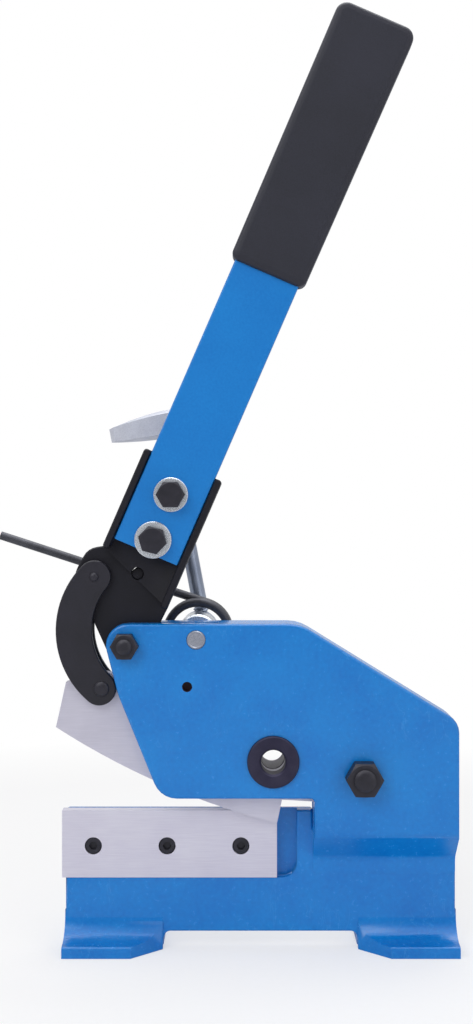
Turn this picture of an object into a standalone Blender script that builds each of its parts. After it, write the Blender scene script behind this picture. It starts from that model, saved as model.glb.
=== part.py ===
"""Bench shear with a long hand lever, built as an assembly of separate parts.

X runs along the base, Z is up and the operator stands on the -Y side.
The shear plane is Y = 0 while the parts are drawn. X = 0 is the middle of the
base then. At the end the whole assembly is moved so that the world origin lies
at the middle of its overall box, on the bench.
All lengths are metres and all angles are radians.
"""

import math

import bpy
import bmesh
from mathutils import Matrix, Vector

# FIT is the clearance between pieces that touch. A cutter runs past what it cuts
# by OVERRUN. Joined shapes reach into each other by SINK, and their faces stay
# SEAM apart where they would otherwise lie in one plane.
FIT = 0.0003
OVERRUN = 0.0200
SINK = 0.0030
SEAM = 0.0005
MERGE = 0.00001

# Facets of round shapes
ARC_STEP = math.radians(15)
ROUND = 24
SMALL_ROUND = 16
SOFT_ANGLE = math.radians(38)
BEVEL_ANGLE = math.radians(50)
FLAT_ANGLE = math.radians(1)

# Layers across the thickness. The wall's faces lie inside the cheeks' planes, and the
# lower blade stands a little proud of its front.
CHEEK_T = 0.0100
SLOT_W = 0.0080
WALL_T = 0.0130
WALL_FRONT = 0.0010
WALL_BACK = 0.0125
CHEEK_FRONT = -(SLOT_W + CHEEK_T)

# Frame casting
BASE_L = 0.2600
WALL_TOP = 0.0923
ARCH_H = 0.0114
ARCH_HALF = 0.0650
ARCH_FILLET = 0.0040
CHEEK_INSET = 0.0006
CHEEK_TOP = 0.2178
CHEEK_BOTTOM = 0.1037
CHEEK_CROWN_X = 0.0254
CHEEK_CROWN_R = 0.0260
CHEEK_SHOULDER_Z = 0.1538
CHEEK_SHOULDER_R = 0.0130
CHEEK_NOSE_X = -0.1052
CHEEK_NOSE_R = 0.0140
CHEEK_WAIST = (-0.0930, 0.1710)
CHEEK_WAIST_R = 0.0300
CHEEK_HEEL_X = -0.0655
CHEEK_HEEL_R = 0.0160
CAST_ROUND = 0.0034
WALL_ROUND = 0.0016
THROAT_X = 0.0348
THROAT_CORNER_R = 0.0022
CHEEK_ROOT = 0.0500
JOGGLE_TOP = 0.0800
JOGGLE_FOOT = 0.0610
JOGGLE_R = 0.0080
BRIDGE_X = -0.0280
POCKET_GAP = 0.0040
POCKET_FLOOR = 0.0840

# Feet
FOOT_T = 0.0075
NEAR_FOOT_REACH = 0.0180
NEAR_FOOT_FRONT_L = 0.0450
FAR_FOOT_REACH = 0.0570
FOOT_FILLET = 0.0165
FOOT_EDGE_R = 0.0022
BENCH_HOLE_R = 0.0055
BENCH_HOLE_BACK = 0.0380
BENCH_HOLE_HALF_PITCH = 0.0170

# Pivots of the frame, as X and Z
HANDLE_PIVOT = (-0.0885, 0.2036)
BLADE_PIVOT = (0.0668, 0.1181)
HOLD_PIVOT = (-0.0423, 0.2074)
BAR_HOLE = (0.0080, 0.1282)
OIL_HOLE = (-0.0481, 0.1769)
OIL_HOLE_R = 0.00335
OIL_HOLE_DEPTH = 0.0070

# Blades
BLADE_T = 0.0074
LOWER_BLADE_T = 0.0080
LOWER_BLADE_H = 0.0446
LOWER_BLADE_OVERHANG = 0.0020
LOWER_BLADE_END = 0.0109
LOWER_BLADE_CORNER_R = 0.0006
RECESS_END = 0.0244
RECESS_R = 0.0100
UPPER_TIP = (-0.1349, 0.1490)
UPPER_CORNER = (-0.1283, 0.1787)
UPPER_HEEL = (0.0107, 0.0857)
UPPER_STEP = (0.0140, 0.1012)
UPPER_EDGE_R = 0.4900
UPPER_EDGE_STEPS = 14
BLADE_LOBE_R = 0.0200
BLADE_EYE = (-0.1043, 0.1749)
BLADE_EYE_R = 0.0108

# Lower blade screws
BLADE_SCREW_HEAD_R = 0.0054
BLADE_SCREW_HEAD_T = 0.0024
BLADE_SCREW_CONE_T = 0.0026
BLADE_SCREW_R = 0.0030
BLADE_SCREW_RISE = 0.0210
BLADE_SCREW_FIRST = 0.0208
BLADE_SCREW_PITCH = 0.04905
BLADE_SCREW_COUNT = 3
BLADE_SCREW_SOCKET_AF = 0.0050
BLADE_SCREW_SOCKET_DEPTH = 0.0024
BLADE_NUT_AF = 0.0100
BLADE_NUT_T = 0.0050
BLADE_SCREW_TAIL = 0.0018
BLADE_SCREW_CHAMFER = 0.0009

# Pivot fasteners: shank radius, width across flats, nut height, head height.
# BOLT_DOME_SHARES gives a tail's rounded end, as shares of its radius and of its length.
HANDLE_BOLT_R = 0.0050
HANDLE_BOLT_AF = 0.0160
HANDLE_NUT_T = 0.0080
HANDLE_HEAD_T = 0.0064
HANDLE_WASHER_R = 0.0100
BLADE_BOLT_R = 0.0070
BLADE_BOLT_AF = 0.0213
BLADE_BOLT_NUT_T = 0.0110
BLADE_BOLT_HEAD_T = 0.0088
BLADE_WASHER_R = 0.0140
WASHER_T = 0.0020
BOLT_TAIL = 0.0030
BOLT_DOME_SHARES = ((0.45, 0.10), (0.85, 0.40), (1.00, 0.80))
HEX_CHAMFER = 0.0010
HEX_FACE_SHARE = 0.95
HEX_SLOPE = math.tan(math.radians(30))

# Round bar cutter bushes
BUSH_BORE_R = 0.0080
BUSH_BODY_R = 0.0138
BUSH_FLANGE_R = 0.0170
BUSH_FLANGE_T = 0.0025
BUSH_CHAMFER = 0.0009
FAR_COLLAR_R = 0.0128
FAR_COLLAR_L = 0.0120

# Handle lever, drawn upright with its pivot at zero and then leaned
LEVER_LEAN = math.radians(23.5)
BAR_OFFSET = -0.0119
BAR_FOOT = 0.0614
BAR_W = 0.0448
BAR_T = 0.0080
BAR_L = 0.3680
BAR_EDGE = 0.0008
BAR_CORNER_R = 0.0016
WEB_PIVOT_R = 0.0135
LEVER_EYE = (-0.0368, 0.0326)
LEVER_EYE_R = 0.0130
SHOULDER = (-0.0375, 0.0410)
SHOULDER_R = 0.0116
BLOCK_FLOOR_T = 0.0114
FLANGE_T = 0.0046
FLANGE_TOP = 0.1234
FLANGE_PROUD = 0.0018
FLANGE_R = 0.0022
LEFT_FLANGE_FOOT = 0.0534
RIGHT_FLANGE_FOOT = 0.0325
BLOCK_EDGE = 0.0008
BLOCK_FLOOR_LAP = 0.0025
BLOCK_FLANGE_LAP = 0.0037
HANDLE_SCREW_R = 0.0050
HANDLE_SCREW_AF = 0.0163
HANDLE_SCREW_CHAMFER = 0.0010
HANDLE_SCREW_HEAD_T = 0.0064
HANDLE_SCREW_RISES = (0.0092, 0.0407)
HANDLE_SCREW_TURNS = (math.radians(-14), math.radians(0))
HANDLE_SCREW_ASIDE = (0.0013, 0.0002)
FRONT_WASHER_RADII = (0.0120, 0.0112)
BACK_WASHER_R = 0.0105
WASHER_EDGE = 0.0004
HANDLE_SCREW_NUT_T = 0.0080
GRIP_START = 0.1970
GRIP_L = 0.1825
GRIP_W = 0.0520
GRIP_TOP_W = 0.0542
GRIP_T = 0.0160
GRIP_FOOT_R = 0.0050
GRIP_TOP_R = 0.0078
GRIP_ROUND = 0.0044

# Link plates: the outer and inner arcs touch the two eye circles
LINK_T = 0.0050
LINK_TOP_R = 0.0108
LINK_LOW_R = 0.0110
LINK_LOW_SHIFT = 0.0016
LINK_OUTER_R = 0.0610
LINK_INNER_R = 0.0440
LINK_EDGE = 0.0007
LOW_PIN_R = 0.0050
LOW_PIN_END_R = 0.0043
TOP_PIN_R = 0.0030
TOP_PIN_END_R = 0.0024
PIN_DOME = 0.0016
PIN_DOME_SHARES = ((0.50, 0.85), (0.87, 0.50))

# The lever's top eye is a slot, which takes up what constant ratios leave over
EYE_SLOT_HALF = 0.0057
EYE_SLOT_R = 0.0046
EYE_SLOT_TURN = math.radians(17.5)

# Torsion spring round the hold-down pin
WIRE_R = 0.0029
COIL_R = 0.0215
COIL_TURNS = 2.5
COIL_PITCH = 0.0064
COIL_POINTS = 18
COIL_START_GAP = 0.0015
LEG_DIRECTION = math.radians(162.0)
LEG_L = 0.1508
LEG_POINTS = 6
TANG_BEND_R = 0.0050
TANG_BEND_POINTS = 5
TANG_DEPTH = 0.0090
PEG_R = 0.0040
PEG_ALONG = 0.0500
PEG_BEYOND = 0.0012
PEG_EDGE = 0.0010

# Hold-down: pin, sleeve, swivel block, screw, wing and foot
HOLD_PIN_R = 0.0060
HOLD_PIN_EDGE = 0.0007
HOLD_PIN_PROUD = 0.0006
HOLD_PIN_GRIP = 0.0083
SLEEVE_R = 0.0140
SLEEVE_L = 0.0236
SLEEVE_EDGE = 0.0012
SWIVEL_R = 0.0135
SWIVEL_L = 0.0218
SWIVEL_EDGE = 0.0012
HOLD_LEAN = math.radians(-10.7)
SCREW_R = 0.00525
SCREW_CHAMFER = 0.0010
SCREW_BACK = 0.0143
SCREW_OFFSET = 0.0037
SCREW_BELOW = 0.0910
SCREW_ABOVE = 0.1490
HOLD_FOOT_R = 0.0110
HOLD_FOOT_T = 0.0110
HOLD_FOOT_SOCKET = 0.0055
HOLD_FOOT_EDGE = 0.0013
HOLD_FOOT_SHOULDER = 0.0040
WING_HALF = 0.0400
WING_WIDE = 0.0130
WING_END_R = 0.0070
WING_END_T = 0.0095
WING_LOW = 0.1413
WING_ROOF = 0.0060
WING_CAMBER = 0.0080
WING_KEEL = 0.0042
WING_SLICES = 8

COLLECTION = "bench_shear"
CUTTERS = "bench_shear_cutters"


def clear_scene():
    for obj in list(bpy.data.objects):
        bpy.data.objects.remove(obj, do_unlink=True)
    for name in (COLLECTION, CUTTERS):
        collection = bpy.data.collections.new(name)
        bpy.context.scene.collection.children.link(collection)


def put_in(obj, collection_name):
    for old in list(obj.users_collection):
        old.objects.unlink(obj)
    bpy.data.collections[collection_name].objects.link(obj)


def material(name, colour, metallic, roughness):
    mat = bpy.data.materials.new(name)
    mat.use_nodes = True
    shader = mat.node_tree.nodes["Principled BSDF"]
    shader.inputs["Base Color"].default_value = (*colour, 1.0)
    shader.inputs["Metallic"].default_value = metallic
    shader.inputs["Roughness"].default_value = roughness
    mat.diffuse_color = (*colour, 1.0)
    return mat


def make_materials():
    return {
        "blue_paint": material("blue_paint", (0.006, 0.202, 0.597), 0.0, 0.35),
        "ground_steel": material("ground_steel", (0.50, 0.49, 0.56), 0.9, 0.40),
        "black_oxide": material("black_oxide", (0.014, 0.014, 0.020), 0.6, 0.45),
        "black_casting": material("black_casting", (0.011, 0.011, 0.018), 0.3, 0.55),
        "bush_steel": material("bush_steel", (0.026, 0.026, 0.044), 0.7, 0.50),
        "zinc_steel": material("zinc_steel", (0.55, 0.58, 0.62), 1.0, 0.28),
        "bare_steel": material("bare_steel", (0.24, 0.27, 0.31), 0.9, 0.38),
        "cast_grey": material("cast_grey", (0.42, 0.43, 0.52), 0.7, 0.50),
        "spring_steel": material("spring_steel", (0.040, 0.042, 0.050), 0.7, 0.45),
        "vinyl_grip": material("vinyl_grip", (0.038, 0.040, 0.060), 0.0, 0.60),
    }


# Flat outlines, as lists of X and Z


def heading(direction):
    return Vector((math.cos(direction), math.sin(direction)))


def arc(centre, radius, start, sweep):
    """Points along an arc, both ends included."""
    steps = max(1, math.ceil(abs(sweep) / ARC_STEP))
    turn = [start + sweep * i / steps for i in range(steps + 1)]
    return [Vector(centre) + radius * heading(a) for a in turn]


def belt(circles):
    """Closed outline drawn anticlockwise round circles (x, z, radius).

    A negative radius makes the path pass on the circle's other side, which
    gives a hollow corner, and a zero radius gives a sharp one.
    """
    count = len(circles)
    directions = []
    for i in range(count):
        x0, z0, r0 = circles[i]
        x1, z1, r1 = circles[(i + 1) % count]
        reach = Vector((x1 - x0, z1 - z0))
        swing = max(-1, min(1, (r1 - r0) / reach.length))
        directions.append(math.atan2(reach.y, reach.x) - math.asin(swing))
    points = []
    for i, (x, z, radius) in enumerate(circles):
        arrive = directions[i - 1]
        turn = (directions[i] - arrive + math.pi) % math.tau - math.pi
        if radius == 0:
            points.append(Vector((x, z)))
            continue
        if radius > 0 and turn < 0:
            turn += math.tau
        if radius < 0 and turn > 0:
            turn -= math.tau
        points += arc((x, z), radius, arrive - math.pi / 2, turn)
    return points


def rounded(corners):
    """Closed outline through corners (x, z, fillet radius), anticlockwise."""
    points = []
    count = len(corners)
    for i, (x, z, radius) in enumerate(corners):
        here = Vector((x, z))
        if radius == 0:
            points.append(here)
            continue
        before = (Vector(corners[i - 1][:2]) - here).normalized()
        after = (Vector(corners[(i + 1) % count][:2]) - here).normalized()
        half = before.angle(after) / 2
        centre = here + (before + after).normalized() * radius / math.sin(half)
        start = here + before * radius / math.tan(half) - centre
        end = here + after * radius / math.tan(half) - centre
        first = math.atan2(start.y, start.x)
        sweep = (math.atan2(end.y, end.x) - first + math.pi) % math.tau - math.pi
        points += arc(centre, radius, first, sweep)
    return points


def box_outline(x0, x1, z0, z1, radius=0):
    return rounded([(x0, z0, radius), (x1, z0, radius), (x1, z1, radius), (x0, z1, radius)])


def meeting_point(centre_a, reach_a, centre_b, reach_b):
    """Point at the given distances from two centres, on the right of A to B."""
    a, b = Vector(centre_a), Vector(centre_b)
    gap = (b - a).length
    along = (reach_a**2 - reach_b**2 + gap**2) / (2 * gap)
    aside = math.sqrt(reach_a**2 - along**2)
    forward = (b - a) / gap
    return a + forward * along + Vector((forward.y, -forward.x)) * aside


# Solids


def finish(obj, mat, parent=None, smooth=True):
    """Name the owner and material of a finished part."""
    obj.data.materials.clear()
    obj.data.materials.append(mat)
    if smooth:
        obj.data.shade_smooth()
        obj.data.set_sharp_from_angle(angle=SOFT_ANGLE)
    if parent is not None:
        obj.parent = parent
    return obj


def extrude_outline(name, outline, thickness):
    """Closed plate: a filled 2D curve with an extrude, made a mesh."""
    curve = bpy.data.curves.new(name, "CURVE")
    curve.dimensions = "2D"
    curve.fill_mode = "BOTH"
    curve.extrude = thickness / 2
    spline = curve.splines.new("POLY")
    spline.points.add(len(outline) - 1)
    for point, place in zip(spline.points, outline):
        point.co = (place[0], place[1], 0, 1)
    spline.use_cyclic_u = True
    return curve_to_mesh(name, curve, dissolve=True)


def curve_to_mesh(name, curve, dissolve=False):
    guide = bpy.data.objects.new(name + "_curve", curve)
    bpy.data.collections[COLLECTION].objects.link(guide)
    bpy.context.view_layer.update()
    mesh = bpy.data.meshes.new_from_object(guide.evaluated_get(bpy.context.evaluated_depsgraph_get()))
    shape = bmesh.new()
    shape.from_mesh(mesh)
    bmesh.ops.remove_doubles(shape, verts=shape.verts, dist=MERGE)
    if dissolve:
        bmesh.ops.dissolve_limit(shape, angle_limit=FLAT_ANGLE, verts=shape.verts, edges=shape.edges)
    bmesh.ops.recalc_face_normals(shape, faces=shape.faces)
    shape.to_mesh(mesh)
    shape.free()
    mesh.name = name
    obj = bpy.data.objects.new(name, mesh)
    bpy.data.collections[COLLECTION].objects.link(obj)
    obj.matrix_world = guide.matrix_world.copy()
    bpy.data.objects.remove(guide, do_unlink=True)
    return obj


def plate(name, outline, near, far):
    """Plate parallel to the shear plane, from Y = near to Y = far."""
    obj = extrude_outline(name, outline, far - near)
    obj.data.transform(Matrix.Translation((0, (near + far) / 2, 0)) @ Matrix.Rotation(math.pi / 2, 4, "X"))
    return obj


def slab(name, outline, low, high):
    """Level plate whose outline is X and Y, from Z = low to Z = high."""
    obj = extrude_outline(name, outline, high - low)
    obj.data.transform(Matrix.Translation((0, 0, (low + high) / 2)))
    return obj


def rail(name, outline, left, right):
    """Bar along X whose outline is Y and Z, from X = left to X = right."""
    obj = extrude_outline(name, outline, right - left)
    turn = Matrix.Rotation(math.pi / 2, 4, "Z") @ Matrix.Rotation(math.pi / 2, 4, "X")
    obj.data.transform(Matrix.Translation(((left + right) / 2, 0, 0)) @ turn)
    return obj


def round_bar(name, centre, radius, near, far, facets=ROUND):
    """Cylinder along Y."""
    place = (centre[0], (near + far) / 2, centre[1])
    bpy.ops.mesh.primitive_cylinder_add(vertices=facets, radius=radius, depth=far - near, location=(0, 0, 0))
    obj = bpy.context.object
    obj.name = obj.data.name = name
    obj.data.transform(Matrix.Translation(place) @ Matrix.Rotation(math.pi / 2, 4, "X"))
    put_in(obj, COLLECTION)
    return obj


def hex_bar(name, centre, across_flats, near, far, turn=0):
    """Hexagonal prism along Y, with corners left and right before its turn."""
    radius = across_flats / math.sqrt(3)
    bpy.ops.mesh.primitive_cylinder_add(vertices=6, radius=radius, depth=far - near, location=(0, 0, 0))
    obj = bpy.context.object
    obj.name = obj.data.name = name
    place = Matrix.Translation((centre[0], (near + far) / 2, centre[1]))
    spin = Matrix.Rotation(turn, 4, "Y") @ Matrix.Rotation(math.pi / 2, 4, "X")
    obj.data.transform(place @ spin @ Matrix.Rotation(math.pi / 6, 4, "Z"))
    put_in(obj, COLLECTION)
    return obj


def spun(name, profile, closed, facets):
    """Turned solid round local Z from (radius, height) pairs, top to bottom."""
    mesh = bpy.data.meshes.new(name)
    obj = bpy.data.objects.new(name, mesh)
    bpy.data.collections[COLLECTION].objects.link(obj)
    shape = bmesh.new()
    verts = [shape.verts.new((radius, 0, height)) for radius, height in profile]
    for i in range(len(verts) - 1):
        shape.edges.new((verts[i], verts[i + 1]))
    if closed:
        shape.edges.new((verts[-1], verts[0]))
    shape.to_mesh(mesh)
    shape.free()
    screw = obj.modifiers.new("turn", "SCREW")
    screw.steps = facets
    screw.render_steps = facets
    screw.use_merge_vertices = True
    screw.merge_threshold = MERGE
    bpy.context.view_layer.update()
    turned_mesh = bpy.data.meshes.new_from_object(obj.evaluated_get(bpy.context.evaluated_depsgraph_get()))
    obj.modifiers.clear()
    obj.data = turned_mesh
    turned_mesh.name = name
    return obj


def turned(name, centre, profile, closed=False, facets=ROUND):
    """Turned solid along Y from (radius, y) pairs, from the near to the far side."""
    obj = spun(name, [(radius, -y) for radius, y in profile], closed, facets)
    obj.data.transform(Matrix.Translation((centre[0], 0, centre[1])) @ Matrix.Rotation(math.pi / 2, 4, "X"))
    return obj


def cutter(obj):
    put_in(obj, CUTTERS)
    obj.hide_render = True
    obj.display_type = "WIRE"
    return obj


def combine(obj, other, operation):
    modifier = obj.modifiers.new(other.name, "BOOLEAN")
    modifier.operation = operation
    modifier.solver = "EXACT"
    modifier.object = cutter(other)
    return obj


def join(obj, other):
    return combine(obj, other, "UNION")


def cut(obj, other):
    return combine(obj, other, "DIFFERENCE")


def drill(obj, label, centre, radius, near, far, facets=ROUND, parent=None):
    hole = round_bar(obj.name + "_" + label, centre, radius, near, far, facets)
    hole.parent = parent
    return cut(obj, hole)


def round_edges(obj, width, segments=2):
    modifier = obj.modifiers.new("rounded_edges", "BEVEL")
    modifier.width = width
    modifier.segments = segments
    modifier.limit_method = "ANGLE"
    modifier.angle_limit = BEVEL_ANGLE
    return obj


def pivot_empty(name, place, turn=0, parent=None):
    """Empty on a joint's axis, turned about Y."""
    empty = bpy.data.objects.new(name, None)
    empty.location = place
    empty.rotation_euler = (0, turn, 0)
    bpy.data.collections[COLLECTION].objects.link(empty)
    empty.parent = parent
    return empty


# Frame casting


def cheek_outline():
    right = BASE_L / 2 - CHEEK_INSET
    return rounded([
        (CHEEK_HEEL_X, CHEEK_BOTTOM, CHEEK_HEEL_R),
        (THROAT_X, CHEEK_BOTTOM, THROAT_CORNER_R),
        (THROAT_X, CHEEK_ROOT, 0),
        (right, CHEEK_ROOT, 0),
        (right, CHEEK_SHOULDER_Z, CHEEK_SHOULDER_R),
        (CHEEK_CROWN_X, CHEEK_TOP, CHEEK_CROWN_R),
        (CHEEK_NOSE_X, CHEEK_TOP, CHEEK_NOSE_R),
        (*CHEEK_WAIST, CHEEK_WAIST_R),
    ])


def wall_outline():
    half = BASE_L / 2 - CHEEK_INSET / 2
    arch = ARCH_HALF + SEAM
    return rounded([
        (-half, SEAM, 0),
        (-arch, SEAM, 0),
        (-arch + ARCH_FILLET / 2, ARCH_H, ARCH_FILLET),
        (arch - ARCH_FILLET / 2, ARCH_H, ARCH_FILLET),
        (arch, SEAM, 0),
        (half, SEAM, 0),
        (half, JOGGLE_TOP, 0),
        (THROAT_X, JOGGLE_TOP, 0),
        (THROAT_X, WALL_TOP, 0),
        (-half, WALL_TOP, 0),
    ])


def joggle_room():
    """Space in front of the web that steps from the near cheek back to the wall."""
    front = CHEEK_FRONT - OVERRUN
    low = CHEEK_ROOT - OVERRUN
    section = rounded([
        (front, low, 0),
        (SEAM, low, 0),
        (SEAM, JOGGLE_FOOT, JOGGLE_R),
        (CHEEK_FRONT, JOGGLE_TOP, JOGGLE_R),
        (CHEEK_FRONT, JOGGLE_TOP + JOGGLE_R, 0),
        (front, JOGGLE_TOP + JOGGLE_R, 0),
    ])
    return rail("frame_joggle_room", section, THROAT_X - OVERRUN, BASE_L / 2 + OVERRUN)


def foot_bar(name, wall_y, outward, reach, x0, x1):
    """Foot bar along X with a hollow fillet up to the wall."""
    edge = wall_y + outward * reach
    face = wall_y - outward * SEAM / 2
    inside = wall_y - outward * SINK
    top = FOOT_T + FOOT_FILLET + FOOT_EDGE_R
    corners = [
        (inside, 0, 0),
        (edge, 0, 0),
        (edge, FOOT_T, FOOT_EDGE_R),
        (face, FOOT_T, FOOT_FILLET),
        (face, top, 0),
        (inside, top, 0),
    ]
    if outward < 0:
        corners.reverse()
    return rail(name, rounded(corners), x0, x1)


def slot_outline():
    """Room for the blade and the lever between the cheeks."""
    px, pz = BLADE_PIVOT
    lobe = BLADE_LOBE_R + POCKET_GAP
    left = CHEEK_NOSE_X - OVERRUN
    low = WALL_TOP + SINK
    roof = Vector(BLADE_EYE) + Vector((0, BLADE_EYE_R + POCKET_GAP))
    return belt([
        (left, low, 0),
        (THROAT_X - SINK, low, 0),
        (THROAT_X - SINK, POCKET_FLOOR, 0),
        (px, pz, lobe),
        (BRIDGE_X, roof.y - POCKET_GAP, -POCKET_GAP),
        (BRIDGE_X + POCKET_GAP / 2, CHEEK_TOP + OVERRUN, 0),
        (left, CHEEK_TOP + OVERRUN, 0),
    ])


def build_frame(mats, root):
    frame = plate("frame_casting", cheek_outline(), CHEEK_FRONT, WALL_T)
    round_edges(frame, CAST_ROUND, 3)
    cut(frame, joggle_room())
    join(frame, round_edges(plate("frame_wall", wall_outline(), WALL_FRONT, WALL_BACK), WALL_ROUND, 2))
    half = BASE_L / 2
    for label, x0, x1 in (("left", -half, -ARCH_HALF), ("right", ARCH_HALF, half)):
        near_reach = NEAR_FOOT_REACH + WALL_FRONT
        join(frame, foot_bar("frame_near_foot_" + label, WALL_FRONT, -1, near_reach, x0, x1))
        join(frame, foot_bar("frame_far_foot_" + label, WALL_BACK, 1, FAR_FOOT_REACH, x0, x1))
        trim_near_foot(frame, label)
    slot = plate("frame_slot", slot_outline(), -SLOT_W, 0)
    cut(frame, slot)
    low = WALL_TOP - LOWER_BLADE_H - FIT
    high = (WALL_TOP + CHEEK_BOTTOM) / 2
    recess = plate("frame_recess", rounded([
        (-half - OVERRUN, low, 0),
        (RECESS_END, low, RECESS_R),
        (RECESS_END, high, 0),
        (-half - OVERRUN, high, 0),
    ]), -OVERRUN, LOWER_BLADE_T + FIT)
    cut(frame, recess)
    drill_frame(frame)
    return finish(frame, mats["blue_paint"], root)


def trim_near_foot(frame, label):
    """The near feet narrow towards their front edge."""
    side = -1 if label == "left" else 1
    outer = side * (BASE_L / 2 - NEAR_FOOT_FRONT_L)
    inner = side * ARCH_HALF
    slope = (outer - inner) / NEAR_FOOT_REACH
    beyond = outer + slope * OVERRUN
    outline = [
        (inner, 0),
        (inner - side * OVERRUN, 0),
        (inner - side * OVERRUN, -NEAR_FOOT_REACH - OVERRUN),
        (beyond, -NEAR_FOOT_REACH - OVERRUN),
    ]
    if side < 0:
        outline.reverse()
    cut(frame, slab("frame_trim_" + label, outline, -OVERRUN, FOOT_T + FOOT_FILLET + OVERRUN))


def drill_frame(frame):
    front, back = CHEEK_FRONT - OVERRUN, WALL_T + OVERRUN
    drill(frame, "handle_bore", HANDLE_PIVOT, HANDLE_BOLT_R + FIT, front, back)
    drill(frame, "blade_bore", BLADE_PIVOT, BLADE_BOLT_R + FIT, front, back)
    drill(frame, "hold_bore", HOLD_PIVOT, HOLD_PIN_R + FIT, front, back)
    drill(frame, "bush_bore", BAR_HOLE, BUSH_BODY_R + FIT, front, back)
    drill(frame, "oil_hole", OIL_HOLE, OIL_HOLE_R, front, CHEEK_FRONT + OIL_HOLE_DEPTH, SMALL_ROUND)
    tang = tang_place()
    drill(frame, "tang_hole", tang, WIRE_R + FIT, WALL_T - TANG_DEPTH - FIT, back, SMALL_ROUND)
    for number, centre in enumerate(blade_screw_places(), 1):
        label = "screw_hole_" + str(number)
        drill(frame, label, centre, BLADE_SCREW_R + FIT, 0, back, SMALL_ROUND)
    middle = (BASE_L / 2 + ARCH_HALF) / 2
    y = WALL_BACK + BENCH_HOLE_BACK
    for label, side in (("left", -1), ("right", 1)):
        for number, step in enumerate((-1, 1), 1):
            x = side * middle + step * BENCH_HOLE_HALF_PITCH
            bpy.ops.mesh.primitive_cylinder_add(
                vertices=SMALL_ROUND, radius=BENCH_HOLE_R, depth=OVERRUN * 2, location=(x, y, 0))
            hole = bpy.context.object
            hole.name = "frame_bench_hole_" + label + "_" + str(number)
            cut(frame, hole)


# Blades


def blade_screw_places():
    left = -BASE_L / 2 - LOWER_BLADE_OVERHANG
    height = WALL_TOP - LOWER_BLADE_H + BLADE_SCREW_RISE
    return [(left + BLADE_SCREW_FIRST + i * BLADE_SCREW_PITCH, height) for i in range(BLADE_SCREW_COUNT)]


def screw_profile(gap):
    """Countersunk screw seat from the front face, grown by a gap."""
    head = BLADE_SCREW_HEAD_R + gap
    shank = BLADE_SCREW_R + gap
    cone = BLADE_SCREW_HEAD_T + gap
    return [(head, cone), (shank, cone + BLADE_SCREW_CONE_T)]


def build_lower_blade(mats, root):
    left = -BASE_L / 2 - LOWER_BLADE_OVERHANG
    outline = box_outline(left, LOWER_BLADE_END, WALL_TOP - LOWER_BLADE_H, WALL_TOP, LOWER_BLADE_CORNER_R)
    blade = plate("lower_blade", outline, 0, LOWER_BLADE_T)
    for number, centre in enumerate(blade_screw_places(), 1):
        profile = [(0, -OVERRUN), (BLADE_SCREW_HEAD_R + FIT, -OVERRUN)]
        profile += screw_profile(FIT)
        profile += [(BLADE_SCREW_R + FIT, WALL_T), (0, WALL_T)]
        cut(blade, turned("lower_blade_seat_" + str(number), centre, profile, facets=SMALL_ROUND))
    finish(blade, mats["ground_steel"], root)

    end = WALL_BACK + FIT + BLADE_NUT_T
    tail = end + BLADE_SCREW_TAIL
    for number, centre in enumerate(blade_screw_places(), 1):
        label = str(number)
        profile = [(0, FIT), (BLADE_SCREW_HEAD_R, FIT)]
        profile += screw_profile(0)
        narrow = BLADE_SCREW_R - BLADE_SCREW_CHAMFER
        profile += [(BLADE_SCREW_R, tail - BLADE_SCREW_CHAMFER), (narrow, tail), (0, tail)]
        screw = turned("lower_blade_screw_" + label, centre, profile, facets=SMALL_ROUND)
        cut(screw, hex_bar("screw_socket_" + label, centre, BLADE_SCREW_SOCKET_AF,
                           -OVERRUN, BLADE_SCREW_SOCKET_DEPTH))
        finish(screw, mats["black_oxide"], root)
        nut = hex_nut("lower_blade_nut_" + label, centre, BLADE_NUT_AF, BLADE_SCREW_R + FIT,
                      WALL_BACK + FIT, end, 1)
        finish(nut, mats["zinc_steel"], root)


def upper_blade_outline():
    """Curved cutting edge, heel, pivot lobe and the eye for the links."""
    tip, heel = Vector(UPPER_TIP), Vector(UPPER_HEEL)
    centre = meeting_point(heel, UPPER_EDGE_R, tip, UPPER_EDGE_R)
    first = math.atan2(tip.y - centre.y, tip.x - centre.x)
    last = math.atan2(heel.y - centre.y, heel.x - centre.x)
    steps = UPPER_EDGE_STEPS
    edge = [centre + UPPER_EDGE_R * heading(first + (last - first) * i / steps) for i in range(steps + 1)]
    rest = belt([
        (*UPPER_HEEL, 0),
        (*UPPER_STEP, 0),
        (*BLADE_PIVOT, BLADE_LOBE_R),
        (*BLADE_EYE, BLADE_EYE_R),
        (*UPPER_CORNER, 0),
    ])
    return edge + rest[1:]


def build_upper_blade(mats, pivot):
    near, far = -BLADE_T - FIT, -FIT
    blade = plate("upper_blade", upper_blade_outline(), near, far)
    drill(blade, "pivot_bore", BLADE_PIVOT, BLADE_BOLT_R + FIT, near - OVERRUN, far + OVERRUN)
    drill(blade, "link_bore", BLADE_EYE, LOW_PIN_R + FIT, near - OVERRUN, far + OVERRUN)
    drill(blade, "bar_bore", BAR_HOLE, BUSH_BORE_R + FIT, near - OVERRUN, far + OVERRUN)
    keep_world(blade, pivot)
    return finish(blade, mats["ground_steel"])


def keep_world(obj, parent):
    """Parent without moving: the mesh is drawn in the frame's own coordinates."""
    obj.parent = parent
    obj.matrix_parent_inverse = parent.matrix_world.inverted()


# Fasteners


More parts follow.
